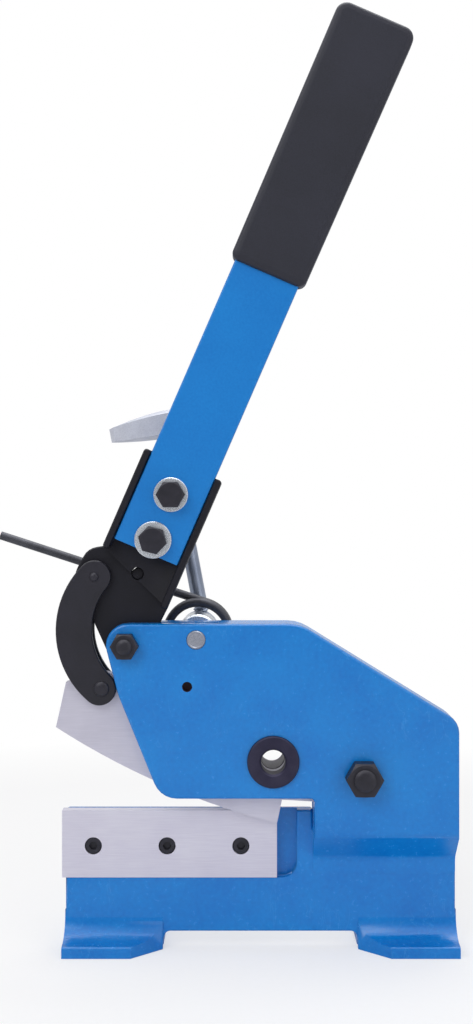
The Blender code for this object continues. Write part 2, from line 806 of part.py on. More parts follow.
def hex_nut(name, centre, across_flats, bore, near, far, outer_face, turn=0):
    """Hexagon with its corners turned off at the outer face, near (-1) or far (1)."""
    nut = hex_bar(name, centre, across_flats, near, far, turn)
    face = near if outer_face < 0 else far
    back = far + HEX_CHAMFER if outer_face < 0 else near - HEX_CHAMFER
    rim = across_flats / 2 * HEX_FACE_SHARE
    wide = across_flats / math.sqrt(3) + HEX_CHAMFER
    front = face + outer_face * HEX_CHAMFER * HEX_SLOPE
    shoulder = face - outer_face * (wide - rim) * HEX_SLOPE
    profile = [(0, front), (rim - HEX_CHAMFER, front), (wide, shoulder), (wide, back), (0, back)]
    if outer_face > 0:
        profile.reverse()
    combine(nut, turned(name + "_chamfer", centre, profile), "INTERSECT")
    if bore:
        drill(nut, "bore", centre, bore, near - OVERRUN, far + OVERRUN, SMALL_ROUND)
    return nut


def pivot_fastener(prefix, mats, root, centre, radius, across_flats, nut_t, head_t, washer_r):
    """Bolt through both cheeks: nut and rounded tail in front, head behind."""
    front = CHEEK_FRONT - FIT - nut_t
    seat = WALL_T + FIT
    head_near = seat + WASHER_T + FIT
    tail = front - BOLT_TAIL
    dome = [(radius * wide, tail + BOLT_TAIL * deep) for wide, deep in BOLT_DOME_SHARES]
    profile = [(0, tail), *dome, (radius, head_near + SINK), (0, head_near + SINK)]
    bolt = turned(prefix + "_bolt", centre, profile)
    head = hex_nut(prefix + "_bolt_head", centre, across_flats, 0, head_near, head_near + head_t, 1)
    join(bolt, head)
    finish(bolt, mats["black_oxide"], root)
    nut = hex_nut(prefix + "_nut", centre, across_flats, radius + FIT, front, CHEEK_FRONT - FIT, -1)
    finish(nut, mats["black_oxide"], root)
    washer = ring(prefix + "_washer", centre, washer_r, radius + FIT, seat, seat + WASHER_T)
    finish(washer, mats["zinc_steel"], root)


def ring(name, centre, outer, inner, near, far, edge=0):
    profile = [(outer - edge, near), (outer, near + edge), (outer, far), (inner, far), (inner, near)]
    if edge == 0:
        profile.pop(0)
    return turned(name, centre, profile, closed=True)


def build_bushes(mats, root):
    front = CHEEK_FRONT - FIT
    face = front - BUSH_FLANGE_T
    near = turned("bar_bush_near", BAR_HOLE, [
        (BUSH_FLANGE_R - BUSH_CHAMFER, face), (BUSH_FLANGE_R, face + BUSH_CHAMFER), (BUSH_FLANGE_R, front),
        (BUSH_BODY_R, front), (BUSH_BODY_R, -SLOT_W - FIT), (BUSH_BORE_R, -SLOT_W - FIT),
        (BUSH_BORE_R, face + BUSH_CHAMFER), (BUSH_BORE_R + BUSH_CHAMFER, face)], closed=True)
    finish(near, mats["bush_steel"], root)
    seat = WALL_T + FIT
    rim = seat + BUSH_FLANGE_T
    end = rim + FAR_COLLAR_L
    far = turned("bar_bush_far", BAR_HOLE, [
        (BUSH_BODY_R, 0), (BUSH_BODY_R, seat), (BUSH_FLANGE_R, seat), (BUSH_FLANGE_R, rim),
        (FAR_COLLAR_R, rim), (FAR_COLLAR_R, end - BUSH_CHAMFER), (FAR_COLLAR_R - BUSH_CHAMFER, end),
        (BUSH_BORE_R, end), (BUSH_BORE_R, 0)], closed=True)
    finish(far, mats["bush_steel"], root)


# Handle lever, drawn in the lever's own upright frame


def build_lever(mats, pivot):
    web_near, web_far = -BLADE_T - FIT, -FIT
    left = BAR_OFFSET - BAR_W / 2 - FIT - FLANGE_T
    right = BAR_OFFSET + BAR_W / 2 + FIT + FLANGE_T
    web = belt([
        (0, 0, WEB_PIVOT_R),
        (right - FLANGE_R, RIGHT_FLANGE_FOOT, FLANGE_R),
        (right - FLANGE_R, FLANGE_TOP - FLANGE_R, FLANGE_R),
        (left + FLANGE_R, FLANGE_TOP - FLANGE_R, FLANGE_R),
        (left, SHOULDER[1] + SHOULDER_R + FLANGE_R, -FLANGE_R / 2),
        (*SHOULDER, SHOULDER_R),
        (*LEVER_EYE, LEVER_EYE_R),
    ])
    block = round_edges(plate("handle_block", web, web_near, web_far), BLOCK_EDGE, 1)
    floor_near = web_far - BLOCK_FLOOR_T
    floor = rounded([
        (left, LEFT_FLANGE_FOOT, FLANGE_R),
        (right, RIGHT_FLANGE_FOOT, FLANGE_R),
        (right, FLANGE_TOP, FLANGE_R),
        (left, FLANGE_TOP, FLANGE_R),
    ])
    join(block, parented(plate("block_floor", floor, floor_near, web_far - BLOCK_FLOOR_LAP), pivot))
    bar_near = floor_near - FIT - BAR_T
    for label, x0, x1, foot in (
        ("left", left, left + FLANGE_T, LEFT_FLANGE_FOOT),
        ("right", right - FLANGE_T, right, RIGHT_FLANGE_FOOT),
    ):
        flange = plate("block_flange_" + label, box_outline(x0, x1, foot, FLANGE_TOP, FLANGE_R),
                       bar_near - FLANGE_PROUD, web_far - BLOCK_FLANGE_LAP)
        join(block, parented(round_edges(flange, BLOCK_EDGE, 1), pivot))
    drill(block, "pivot_bore", (0, 0), HANDLE_BOLT_R + FIT, -OVERRUN, OVERRUN, parent=pivot)
    cut(block, parented(plate("block_eye_slot", eye_slot(), -OVERRUN, OVERRUN), pivot))
    drill(block, "peg_bore", peg_in_lever(), PEG_R + FIT, -OVERRUN, OVERRUN, SMALL_ROUND, pivot)
    for label, aside, rise in zip(("lower", "upper"), HANDLE_SCREW_ASIDE, HANDLE_SCREW_RISES):
        drill(block, "bore_" + label, (BAR_OFFSET + aside, BAR_FOOT + rise), HANDLE_SCREW_R + FIT,
              -OVERRUN * 2, OVERRUN, SMALL_ROUND, pivot)
    finish(block, mats["black_casting"], pivot)
    build_bar(mats, pivot, bar_near)
    build_grip(mats, pivot, bar_near + BAR_T / 2)
    build_handle_screws(mats, pivot, bar_near)


def parented(obj, parent):
    obj.parent = parent
    return obj


def eye_slot():
    """Straight slot with round ends, tilted in the lever's frame."""
    centre = Vector(LEVER_EYE)
    reach = EYE_SLOT_HALF * heading(math.pi / 2 + EYE_SLOT_TURN + LEVER_LEAN)
    ends = (centre - reach, centre + reach)
    return belt([(end.x, end.y, EYE_SLOT_R) for end in ends])


def build_bar(mats, pivot, near):
    left, right = BAR_OFFSET - BAR_W / 2, BAR_OFFSET + BAR_W / 2
    outline = box_outline(left, right, BAR_FOOT, BAR_FOOT + BAR_L, BAR_CORNER_R)
    bar = round_edges(plate("handle_bar", outline, near, near + BAR_T), BAR_EDGE, 2)
    for label, aside, rise in zip(("lower", "upper"), HANDLE_SCREW_ASIDE, HANDLE_SCREW_RISES):
        drill(bar, "bore_" + label, (BAR_OFFSET + aside, BAR_FOOT + rise), HANDLE_SCREW_R + FIT,
              near - OVERRUN, near + BAR_T + OVERRUN, SMALL_ROUND, pivot)
    finish(bar, mats["blue_paint"], pivot)


def build_grip(mats, pivot, middle):
    start = BAR_FOOT + GRIP_START
    end = start + GRIP_L
    outline = rounded([
        (BAR_OFFSET - GRIP_W / 2, start, GRIP_FOOT_R),
        (BAR_OFFSET + GRIP_W / 2, start, GRIP_FOOT_R),
        (BAR_OFFSET + GRIP_TOP_W / 2, end, GRIP_TOP_R),
        (BAR_OFFSET - GRIP_TOP_W / 2, end, GRIP_TOP_R),
    ])
    grip = plate("handle_grip", outline, middle - GRIP_T / 2, middle + GRIP_T / 2)
    round_edges(grip, GRIP_ROUND, 3)
    room = box_outline(BAR_OFFSET - BAR_W / 2 - FIT, BAR_OFFSET + BAR_W / 2 + FIT,
                       start - OVERRUN, BAR_FOOT + BAR_L + FIT)
    half = BAR_T / 2 + FIT
    cut(grip, parented(plate("grip_room", room, middle - half, middle + half), pivot))
    finish(grip, mats["vinyl_grip"], pivot)


def build_handle_screws(mats, pivot, bar_near):
    nut_near = WASHER_T + FIT
    nut_far = nut_near + HANDLE_SCREW_NUT_T
    washer_far = bar_near - FIT
    head_far = washer_far - WASHER_T - FIT
    head_near = head_far - HANDLE_SCREW_HEAD_T
    tail = nut_far + BOLT_TAIL
    for number, rise in enumerate(HANDLE_SCREW_RISES):
        label = ("_lower", "_upper")[number]
        centre = (BAR_OFFSET + HANDLE_SCREW_ASIDE[number], BAR_FOOT + rise)
        turn = HANDLE_SCREW_TURNS[number] - LEVER_LEAN
        screw = hex_nut("handle_screw" + label, centre, HANDLE_SCREW_AF, 0, head_near, head_far, -1, turn)
        shank = turned("handle_shank" + label, centre, [
            (0, head_far - SINK), (HANDLE_SCREW_R, head_far - SINK),
            (HANDLE_SCREW_R, tail - HANDLE_SCREW_CHAMFER), (HANDLE_SCREW_R - HANDLE_SCREW_CHAMFER, tail),
            (0, tail)])
        finish(join(screw, shank), mats["black_oxide"])
        nut = hex_nut("handle_nut" + label, centre, HANDLE_SCREW_AF, HANDLE_SCREW_R + FIT,
                      nut_near, nut_far, 1, turn)
        finish(nut, mats["zinc_steel"])
        back_washer = ring("handle_back_washer" + label, centre, BACK_WASHER_R, HANDLE_SCREW_R + FIT,
                           0, WASHER_T)
        finish(back_washer, mats["zinc_steel"])
        washer = ring("handle_washer" + label, centre, FRONT_WASHER_RADII[number],
                      HANDLE_SCREW_R + FIT, washer_far - WASHER_T, washer_far, WASHER_EDGE)
        finish(washer, mats["zinc_steel"])
        for piece in (screw, nut, back_washer, washer):
            parent_tree(piece, pivot)


def parent_tree(obj, parent):
    """Parent an object and the cutters that its modifiers use."""
    obj.parent = parent
    for modifier in obj.modifiers:
        if modifier.type == "BOOLEAN":
            parent_tree(modifier.object, parent)


# Links and their pins


def lever_to_frame(point):
    turn = Matrix.Rotation(-LEVER_LEAN, 2)
    return Vector(HANDLE_PIVOT) + turn @ Vector(point)


def frame_to_lever(point):
    turn = Matrix.Rotation(LEVER_LEAN, 2)
    return turn @ (Vector(point) - Vector(HANDLE_PIVOT))


def link_outline():
    """C-shaped link: two eye circles joined by an outer and an inner arc."""
    top = lever_to_frame(LEVER_EYE)
    low = Vector(BLADE_EYE) - Vector((LINK_LOW_SHIFT, 0))
    outer = meeting_point(low, LINK_OUTER_R - LINK_LOW_R, top, LINK_OUTER_R - LINK_TOP_R)
    inner = meeting_point(low, LINK_INNER_R + LINK_LOW_R, top, LINK_INNER_R + LINK_TOP_R)
    return belt([
        (outer.x, outer.y, LINK_OUTER_R),
        (low.x, low.y, LINK_LOW_R),
        (inner.x, inner.y, -LINK_INNER_R),
        (top.x, top.y, LINK_TOP_R),
    ])


def build_links(mats, link_pivot, blade_pivot):
    top = lever_to_frame(LEVER_EYE)
    low = Vector(BLADE_EYE)
    near_far = {"link_near": (-SLOT_W - LINK_T, -SLOT_W), "link_far": (0, LINK_T)}
    for name, (near, far) in near_far.items():
        link = round_edges(plate(name, link_outline(), near, far), LINK_EDGE, 1)
        drill(link, "top_bore", top, TOP_PIN_END_R + FIT, near - OVERRUN, far + OVERRUN, SMALL_ROUND)
        drill(link, "low_bore", low, LOW_PIN_END_R + FIT, near - OVERRUN, far + OVERRUN, SMALL_ROUND)
        keep_world(link, link_pivot)
        finish(link, mats["black_casting"])
    for name, centre, radius, end_r, owner in (
        ("link_top_pin", top, TOP_PIN_R, TOP_PIN_END_R, link_pivot),
        ("link_low_pin", low, LOW_PIN_R, LOW_PIN_END_R, blade_pivot),
    ):
        pin = turned(name, centre, pin_profile(radius, end_r), facets=SMALL_ROUND)
        keep_world(pin, owner)
        finish(pin, mats["black_oxide"])


def pin_profile(radius, end_r):
    """Stepped pin with domed ends, from in front of the near link to behind the far one."""
    front, back = -SLOT_W - LINK_T, LINK_T
    step_near, step_far = -BLADE_T - FIT, -FIT
    near_dome = [(end_r * wide, front - PIN_DOME * deep) for wide, deep in PIN_DOME_SHARES]
    far_dome = [(end_r * wide, back + PIN_DOME * deep) for wide, deep in reversed(PIN_DOME_SHARES)]
    return [
        (0, front - PIN_DOME), *near_dome, (end_r, front), (end_r, step_near), (radius, step_near),
        (radius, step_far), (end_r, step_far), (end_r, back), *far_dome, (0, back + PIN_DOME),
    ]


# Torsion spring and its peg


def coil_ends():
    """Start angle, end angle and the two heights along Y of the coil."""
    last = LEG_DIRECTION - math.pi / 2
    first = last - COIL_TURNS * math.tau
    start = WALL_T + COIL_START_GAP + WIRE_R
    return first, last, start, start + COIL_TURNS * COIL_PITCH


def coil_point(turn):
    return Vector(HOLD_PIVOT) + COIL_R * heading(turn)


def tang_place():
    """Where the anchored end of the wire enters the far cheek."""
    first = coil_ends()[0]
    return coil_point(first) - TANG_BEND_R * heading(first + math.pi / 2)


def spring_route():
    """Centre line: tang, bend, coil, then the long straight leg."""
    first, last, start, end = coil_ends()
    along = heading(first + math.pi / 2)
    tang = tang_place()
    route = [Vector((tang.x, WALL_T - TANG_DEPTH, tang.y))]
    for i in range(TANG_BEND_POINTS):
        bend = math.pi / 2 * i / TANG_BEND_POINTS
        flat = tang + along * TANG_BEND_R * (1 - math.cos(bend))
        route.append(Vector((flat.x, start - TANG_BEND_R * (1 - math.sin(bend)), flat.y)))
    count = round(COIL_TURNS * COIL_POINTS)
    for i in range(count + 1):
        share = i / count
        flat = coil_point(first + (last - first) * share)
        route.append(Vector((flat.x, start + (end - start) * share, flat.y)))
    foot = coil_point(last)
    for i in range(1, LEG_POINTS + 1):
        flat = foot + heading(LEG_DIRECTION) * LEG_L * i / LEG_POINTS
        route.append(Vector((flat.x, end, flat.y)))
    return route


def least_gap(route):
    """Least distance between the wire's surfaces on neighbouring turns."""
    apart = COIL_POINTS // 2
    closest = min((a - b).length for i, a in enumerate(route) for b in route[i + apart:])
    return closest - 2 * WIRE_R


def build_spring(mats, pivot):
    route = spring_route()
    curve = bpy.data.curves.new("torsion_spring", "CURVE")
    curve.dimensions = "3D"
    curve.bevel_depth = WIRE_R
    curve.bevel_resolution = 1
    curve.use_fill_caps = True
    spline = curve.splines.new("POLY")
    spline.points.add(len(route) - 1)
    for point, place in zip(spline.points, route):
        point.co = (*place, 1)
    spring = curve_to_mesh("torsion_spring", curve)
    keep_world(spring, pivot)
    finish(spring, mats["spring_steel"])
    print("least gap between turns of the spring, mm:", round(least_gap(route) * 1000, 2))


def peg_in_lever():
    """The peg rests on the upper side of the spring's leg."""
    across = LEG_DIRECTION - math.pi / 2
    off = COIL_R + WIRE_R + FIT + PEG_R
    place = Vector(HOLD_PIVOT) + heading(LEG_DIRECTION) * PEG_ALONG + heading(across) * off
    return frame_to_lever(place)


def build_peg(mats, pivot):
    end = coil_ends()[3] + WIRE_R + PEG_BEYOND
    centre = peg_in_lever()
    near = -BLADE_T - FIT
    peg = turned("spring_peg", centre, [
        (0, near), (PEG_R, near), (PEG_R, end - PEG_EDGE), (PEG_R - PEG_EDGE, end),
        (0, end)], facets=SMALL_ROUND)
    finish(peg, mats["black_oxide"], pivot)


# Hold-down


def hold_down_layers():
    """Far ends of the sleeve and of the swivel block, and the screw's Y."""
    sleeve_end = WALL_T + FIT + SLEEVE_L
    swivel_near = sleeve_end + FIT
    return sleeve_end, swivel_near, swivel_near + SWIVEL_L, swivel_near + SCREW_BACK


def build_hold_down(mats, root, swivel_pivot, screw_pivot):
    sleeve_end, swivel_near, swivel_far, screw_y = hold_down_layers()
    front = CHEEK_FRONT - HOLD_PIN_PROUD
    pin_end = swivel_near + HOLD_PIN_GRIP
    pin = turned("hold_down_pin", HOLD_PIVOT, [
        (0, front), (HOLD_PIN_R - HOLD_PIN_EDGE, front), (HOLD_PIN_R, front + HOLD_PIN_EDGE),
        (HOLD_PIN_R, pin_end - HOLD_PIN_EDGE), (HOLD_PIN_R - HOLD_PIN_EDGE, pin_end), (0, pin_end)])
    finish(pin, mats["zinc_steel"], root)
    sleeve = ring("spring_sleeve", HOLD_PIVOT, SLEEVE_R, HOLD_PIN_R + FIT, WALL_T + FIT, sleeve_end,
                  SLEEVE_EDGE)
    finish(sleeve, mats["zinc_steel"], root)
    swivel = round_bar("hold_down_swivel", (0, 0), SWIVEL_R, swivel_near, swivel_far)
    round_edges(swivel, SWIVEL_EDGE, 2)
    drill(swivel, "pin_bore", (0, 0), HOLD_PIN_R + FIT, swivel_near - OVERRUN, pin_end + FIT,
          parent=swivel_pivot)
    reach = SWIVEL_R + OVERRUN
    across = spun("swivel_screw_bore", [
        (0, reach), (SCREW_R + FIT, reach), (SCREW_R + FIT, -reach), (0, -reach)], False, ROUND)
    across.data.transform(Matrix.Translation((SCREW_OFFSET, screw_y, 0)))
    cut(swivel, parented(across, swivel_pivot))
    finish(swivel, mats["bare_steel"], swivel_pivot)
    build_hold_screw(mats, screw_pivot)


def build_hold_screw(mats, screw_pivot):
    """Screw, wing and foot, drawn round the screw's own axis."""
    narrow = SCREW_R - SCREW_CHAMFER
    screw = spun("hold_down_screw", [
        (0, SCREW_ABOVE), (narrow, SCREW_ABOVE), (SCREW_R, SCREW_ABOVE - SCREW_CHAMFER),
        (SCREW_R, SCREW_CHAMFER - SCREW_BELOW), (narrow, -SCREW_BELOW), (0, -SCREW_BELOW)], False, ROUND)
    finish(screw, mats["bare_steel"], screw_pivot)
    top = -SCREW_BELOW - FIT + HOLD_FOOT_SOCKET
    floor = -SCREW_BELOW - FIT
    low = top - HOLD_FOOT_T
    foot = spun("hold_down_foot", [
        (HOLD_FOOT_R - HOLD_FOOT_SHOULDER, top), (HOLD_FOOT_R, top - HOLD_FOOT_SHOULDER),
        (HOLD_FOOT_R, low + HOLD_FOOT_EDGE), (HOLD_FOOT_R - HOLD_FOOT_EDGE, low), (0, low), (0, floor),
        (SCREW_R + FIT, floor), (SCREW_R + FIT, top)], True, ROUND)
    foot.data.validate()
    finish(foot, mats["bare_steel"], screw_pivot)
    build_wing(mats, screw_pivot)


def build_wing(mats, screw_pivot):
    """Oval cast handle: its roof rises to the hub and its keel drops there."""
    reach = WING_HALF - WING_END_R
    side_r = (reach**2 + WING_WIDE**2 - WING_END_R**2) / (2 * (WING_WIDE - WING_END_R))
    oval = belt([
        (-reach, 0, WING_END_R),
        (0, side_r - WING_WIDE, side_r),
        (reach, 0, WING_END_R),
        (0, WING_WIDE - side_r, side_r),
    ])
    wing = slab("hold_down_wing", oval, 0, WING_END_T)
    shape = bmesh.new()
    shape.from_mesh(wing.data)
    planes = [((WING_HALF * (2 * i / WING_SLICES - 1), 0, 0), (1, 0, 0)) for i in range(1, WING_SLICES)]
    planes += [((0, WING_WIDE * side / 2, 0), (0, 1, 0)) for side in (-1, 0, 1)]
    for place, normal in planes:
        geometry = shape.verts[:] + shape.edges[:] + shape.faces[:]
        bmesh.ops.bisect_plane(shape, geom=geometry, dist=MERGE, plane_co=place, plane_no=normal)
    for vert in shape.verts:
        along = 1 - (vert.co.x / WING_HALF) ** 2
        across = (vert.co.y / WING_WIDE) ** 2
        if vert.co.z > WING_END_T / 2:
            vert.co.z += WING_ROOF * along - WING_CAMBER * across
        else:
            vert.co.z -= WING_KEEL * along
    shape.to_mesh(wing.data)
    shape.free()
    wing.data.transform(Matrix.Translation((0, 0, WING_LOW)))
    bore = spun("wing_bore", [
        (0, SCREW_ABOVE + FIT), (SCREW_R + FIT, SCREW_ABOVE + FIT), (SCREW_R + FIT, WING_LOW - OVERRUN),
        (0, WING_LOW - OVERRUN)], False, ROUND)
    cut(wing, parented(bore, screw_pivot))
    finish(wing, mats["cast_grey"], screw_pivot)


def centre_on_origin(root):
    """Move the assembly so its box stands centred on the world origin."""
    bpy.context.view_layer.update()
    depsgraph = bpy.context.evaluated_depsgraph_get()
    points = []
    for obj in bpy.data.collections[COLLECTION].objects:
        if obj.type == "MESH":
            shown = obj.evaluated_get(depsgraph)
            points += [shown.matrix_world @ vert.co for vert in shown.data.vertices]
    low = Vector(min(p[i] for p in points) for i in range(3))
    high = Vector(max(p[i] for p in points) for i in range(3))
    root.location = (-(low.x + high.x) / 2, -(low.y + high.y) / 2, -low.z)
    bpy.context.view_layer.update()
    print("overall size, mm:", [round(v * 1000, 1) for v in high - low])


def main():
    clear_scene()
    mats = make_materials()
    root = pivot_empty("shear_root", (0, 0, 0))
    lever = pivot_empty("lever_pivot", (HANDLE_PIVOT[0], 0, HANDLE_PIVOT[1]), LEVER_LEAN, root)
    blade = pivot_empty("blade_pivot", (BLADE_PIVOT[0], 0, BLADE_PIVOT[1]), 0, root)
    link = pivot_empty("link_pivot", (BLADE_EYE[0], 0, BLADE_EYE[1]), 0, root)
    hold = (HOLD_PIVOT[0], 0, HOLD_PIVOT[1])
    spring = pivot_empty("spring_pivot", hold, 0, root)
    swivel = pivot_empty("swivel_pivot", hold, HOLD_LEAN, root)
    screw = pivot_empty("screw_pivot", (SCREW_OFFSET, hold_down_layers()[3], 0), 0, swivel)
    bpy.context.view_layer.update()
    build_frame(mats, root)
    build_lower_blade(mats, root)
    build_upper_blade(mats, blade)
    pivot_fastener("handle_pivot", mats, root, HANDLE_PIVOT, HANDLE_BOLT_R, HANDLE_BOLT_AF,
                   HANDLE_NUT_T, HANDLE_HEAD_T, HANDLE_WASHER_R)
    pivot_fastener("blade_pivot", mats, root, BLADE_PIVOT, BLADE_BOLT_R, BLADE_BOLT_AF,
                   BLADE_BOLT_NUT_T, BLADE_BOLT_HEAD_T, BLADE_WASHER_R)
    build_bushes(mats, root)
    build_lever(mats, lever)
    build_links(mats, link, blade)
    build_spring(mats, spring)
    build_peg(mats, lever)
    build_hold_down(mats, root, swivel, screw)
    for tool in bpy.data.collections[CUTTERS].objects:
        if tool.parent is None:
            tool.parent = root
    centre_on_origin(root)
    for empty in (lever, blade, link, spring, swivel, screw):
        print(empty.name, "at", [round(v, 5) for v in empty.matrix_world.translation])


main()
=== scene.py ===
# %% [markdown]
# # A bench shear with a long hand lever
#
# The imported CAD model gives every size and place. This notebook dresses it: each
# cell makes one piece, or one finish, and prints what it made. All lengths are in
# metres. X runs along the base, Z is up, and the operator stands on the -Y side.

# %% Load the model that everything is fitted to
import math

import bmesh
import bpy
from mathutils import Matrix, Vector


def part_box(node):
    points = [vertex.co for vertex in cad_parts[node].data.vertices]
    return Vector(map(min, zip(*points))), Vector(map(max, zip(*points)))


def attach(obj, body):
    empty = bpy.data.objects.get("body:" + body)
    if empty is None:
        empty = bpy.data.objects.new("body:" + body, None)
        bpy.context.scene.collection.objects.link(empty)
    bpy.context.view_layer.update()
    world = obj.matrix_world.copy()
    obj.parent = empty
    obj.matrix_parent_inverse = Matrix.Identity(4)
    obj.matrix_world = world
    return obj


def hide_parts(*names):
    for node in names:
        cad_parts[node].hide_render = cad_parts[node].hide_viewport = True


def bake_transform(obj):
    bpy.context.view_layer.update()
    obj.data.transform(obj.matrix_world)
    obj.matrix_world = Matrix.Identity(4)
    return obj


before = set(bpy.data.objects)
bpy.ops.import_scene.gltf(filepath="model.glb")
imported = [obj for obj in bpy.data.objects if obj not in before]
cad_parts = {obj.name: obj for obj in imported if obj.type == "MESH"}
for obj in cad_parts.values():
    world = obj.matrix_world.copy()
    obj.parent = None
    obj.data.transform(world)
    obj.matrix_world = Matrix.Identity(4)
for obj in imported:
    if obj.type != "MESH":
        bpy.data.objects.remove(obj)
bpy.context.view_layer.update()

MM = 0.001
casting_low, casting_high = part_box("frame_casting")
BENCH_ZERO = Vector((casting_low.x + 130 * MM, casting_low.y + 18 * MM, 0))


def at(x, y, z):
    """A place on the drawing, in millimetres, as a point of the model."""
    return BENCH_ZERO + Vector((x, y, z)) * MM


# %% [markdown]
# ## The camera
#
# The photograph was taken straight along the shear's thickness, from about 85 cm,
# so the near cheek hides the far one. A long portrait frame suits the tall lever.
# The shift is only the few pixels that the picture's own centre is off.

# %% Place the camera
PICTURE_TALL, FOCAL_PIXELS, SENSOR = 1024, 1250, 36
CAMERA_PLACE, CENTRE_OFF = (-13, -831, 292), (-4.5, -2.0)
bpy.ops.object.camera_add(location=at(*CAMERA_PLACE), rotation=(math.radians(90), 0, 0))
camera = bpy.context.object
camera.name = "camera"
camera.data.sensor_fit = "AUTO"
camera.data.sensor_width = SENSOR
camera.data.lens = SENSOR * FOCAL_PIXELS / PICTURE_TALL
camera.data.shift_x = CENTRE_OFF[0] / PICTURE_TALL
camera.data.shift_y = CENTRE_OFF[1] / PICTURE_TALL
camera.data.dof.use_dof = False
bpy.context.scene.camera = camera
bpy.context.scene.view_settings.view_transform = "Standard"
print("lens:", round(camera.data.lens, 2), "mm")


# %% [markdown]
# ## Colours and nodes
#
# A finish starts from two or three sRGB colours, read off the object as hex codes.
# Shaders work with linear light, so one function turns a code into linear values.
# One more adds a node: its settings are attributes, its values are sockets, and a
# value that is itself a socket becomes a link.

# %% Two helpers for every finish
def linear(hex_code):
    channels = [int(hex_code[i:i + 2], 16) / 255 for i in (1, 3, 5)]
    return tuple(c / 12.92 if c <= 0.04045 else ((c + 0.055) / 1.055) ** 2.4 for c in channels) + (1.0,)


def add_node(tree, kind, values=None, **settings):
    node = tree.nodes.new("ShaderNode" + kind)
    for name, value in settings.items():
        setattr(node, name, value)
    for socket, value in (values or {}).items():
        if isinstance(value, bpy.types.NodeSocket):
            tree.links.new(value, node.inputs[socket])
        else:
            node.inputs[socket].default_value = value
    return node


def per_mm(size):
    """Noise scale whose cells are about this many millimetres wide."""
    return 1 / (size * MM)


print("bright blue in linear light:", [round(c, 3) for c in linear("#127CCB")])


# %% [markdown]
# ## Room, floor and lamps
#
# A product photographer would use a white sweep and large soft boxes. The world
# gives the even part of that light. Rays from the camera, or through glass, see
# plain white instead, so the background is white without more light on the object.
# Rays that come off gloss see the studio's shape: dim behind the camera, so that
# the flat faces keep their full colour, and bright overhead, which draws a pale line
# along rounded edges and fillets. The floor is pale and keeps the shadow, and it
# fades to the same white further out, so that no horizon shows.

# %% Light the room
ROOM_LIGHT = 0.50
BEHIND_CAMERA, OVERHEAD = 0.20, 3.2
world = bpy.data.worlds.new("studio_room")
bpy.context.scene.world = world
world.use_nodes = True
tree = world.node_tree
tree.nodes.clear()
path = add_node(tree, "LightPath")
seen = add_node(tree, "Math", {0: path.outputs["Is Camera Ray"], 1: path.outputs["Is Transmission Ray"]},
                operation="MAXIMUM")
way = add_node(tree, "TexCoord")
axes = add_node(tree, "SeparateXYZ", {0: way.outputs["Generated"]})
studio = add_node(tree, "MapRange", {"Value": axes.outputs["Y"], "From Min": -0.95, "From Max": -0.25,
                                     "To Min": BEHIND_CAMERA, "To Max": 0.85})
upward = add_node(tree, "MapRange", {"Value": axes.outputs["Z"], "From Min": 0.45, "From Max": 0.95,
                                     "To Min": 0.0, "To Max": OVERHEAD})
mirrored = add_node(tree, "Math", {0: studio.outputs[0], 1: upward.outputs[0]}, operation="MAXIMUM")
room = add_node(tree, "Mix", {0: path.outputs["Is Glossy Ray"], 2: ROOM_LIGHT, 3: mirrored.outputs[0]})
strength = add_node(tree, "Math", {0: seen.outputs[0], 1: room.outputs[0]}, operation="MAXIMUM")
sky = add_node(tree, "Background", {"Color": (1, 1, 1, 1), "Strength": strength.outputs[0]})
add_node(tree, "OutputWorld", {"Surface": sky.outputs[0]})

LAMPS = {
    "key_lamp": ((-0.95, -1.45, 1.35), 1.1, 14.0),
    "fill_lamp": ((1.25, -1.30, 0.70), 1.2, 5.6),
    "top_lamp": ((0.10, 0.25, 1.70), 1.0, 8.5),
}
for name, (place, size, watts) in LAMPS.items():
    bpy.ops.object.light_add(type="AREA", location=place)
    lamp = bpy.context.object
    lamp.name = name
    lamp.data.energy = watts
    lamp.data.size = size
    aim = Vector((0, 0, 0.25)) - Vector(place)
    lamp.rotation_euler = aim.to_track_quat("-Z", "Y").to_euler()
    print(name, "at", place, watts, "W")

# %% Lay the floor
floor_paint = bpy.data.materials.new("pale_sweep_paint")
floor_paint.use_nodes = True
tree = floor_paint.node_tree
tree.nodes.clear()
place = add_node(tree, "TexCoord")
away = add_node(tree, "VectorMath", {0: place.outputs["Object"]}, operation="LENGTH")
fade = add_node(tree, "MapRange", {"Value": away.outputs["Value"], "From Min": 0.20, "From Max": 0.75})
grain = add_node(tree, "TexNoise", {"Vector": place.outputs["Object"], "Scale": per_mm(4), "Detail": 3.0})
tint = add_node(tree, "Mix", {0: grain.outputs[0], 6: linear("#F8F8FA"), 7: linear("#FDFDFE")},
                data_type="RGBA")
matt = add_node(tree, "BsdfDiffuse", {"Color": tint.outputs[2]})
glow = add_node(tree, "Emission", {"Color": (1, 1, 1, 1), "Strength": 1.0})
path = add_node(tree, "LightPath")
white = add_node(tree, "Math", {0: fade.outputs[0], 1: 0.55}, operation="MAXIMUM")
only_seen = add_node(tree, "Math", {0: white.outputs[0], 1: path.outputs["Is Camera Ray"]},
                     operation="MULTIPLY")
blend = add_node(tree, "MixShader", {0: only_seen.outputs[0], 1: matt.outputs[0], 2: glow.outputs[0]})
add_node(tree, "OutputMaterial", {"Surface": blend.outputs[0]})

bpy.ops.mesh.primitive_circle_add(vertices=96, radius=6, fill_type="NGON", location=(0, 0, -0.0002))
floor = bpy.context.object
floor.name = "floor"
floor.data.materials.append(floor_paint)
print("floor laid")


# %% [markdown]
# ## How a finish is built
#
# Every metal or paint here has the same three things under a magnifier: its
# colour drifts between two tones, its gloss is uneven, and its surface has a small
# relief. What differs is their size and strength, so one function makes the
# nodes and each finish gives its own real sizes in millimetres. A drawn or ground
# surface stretches its grain along one axis.

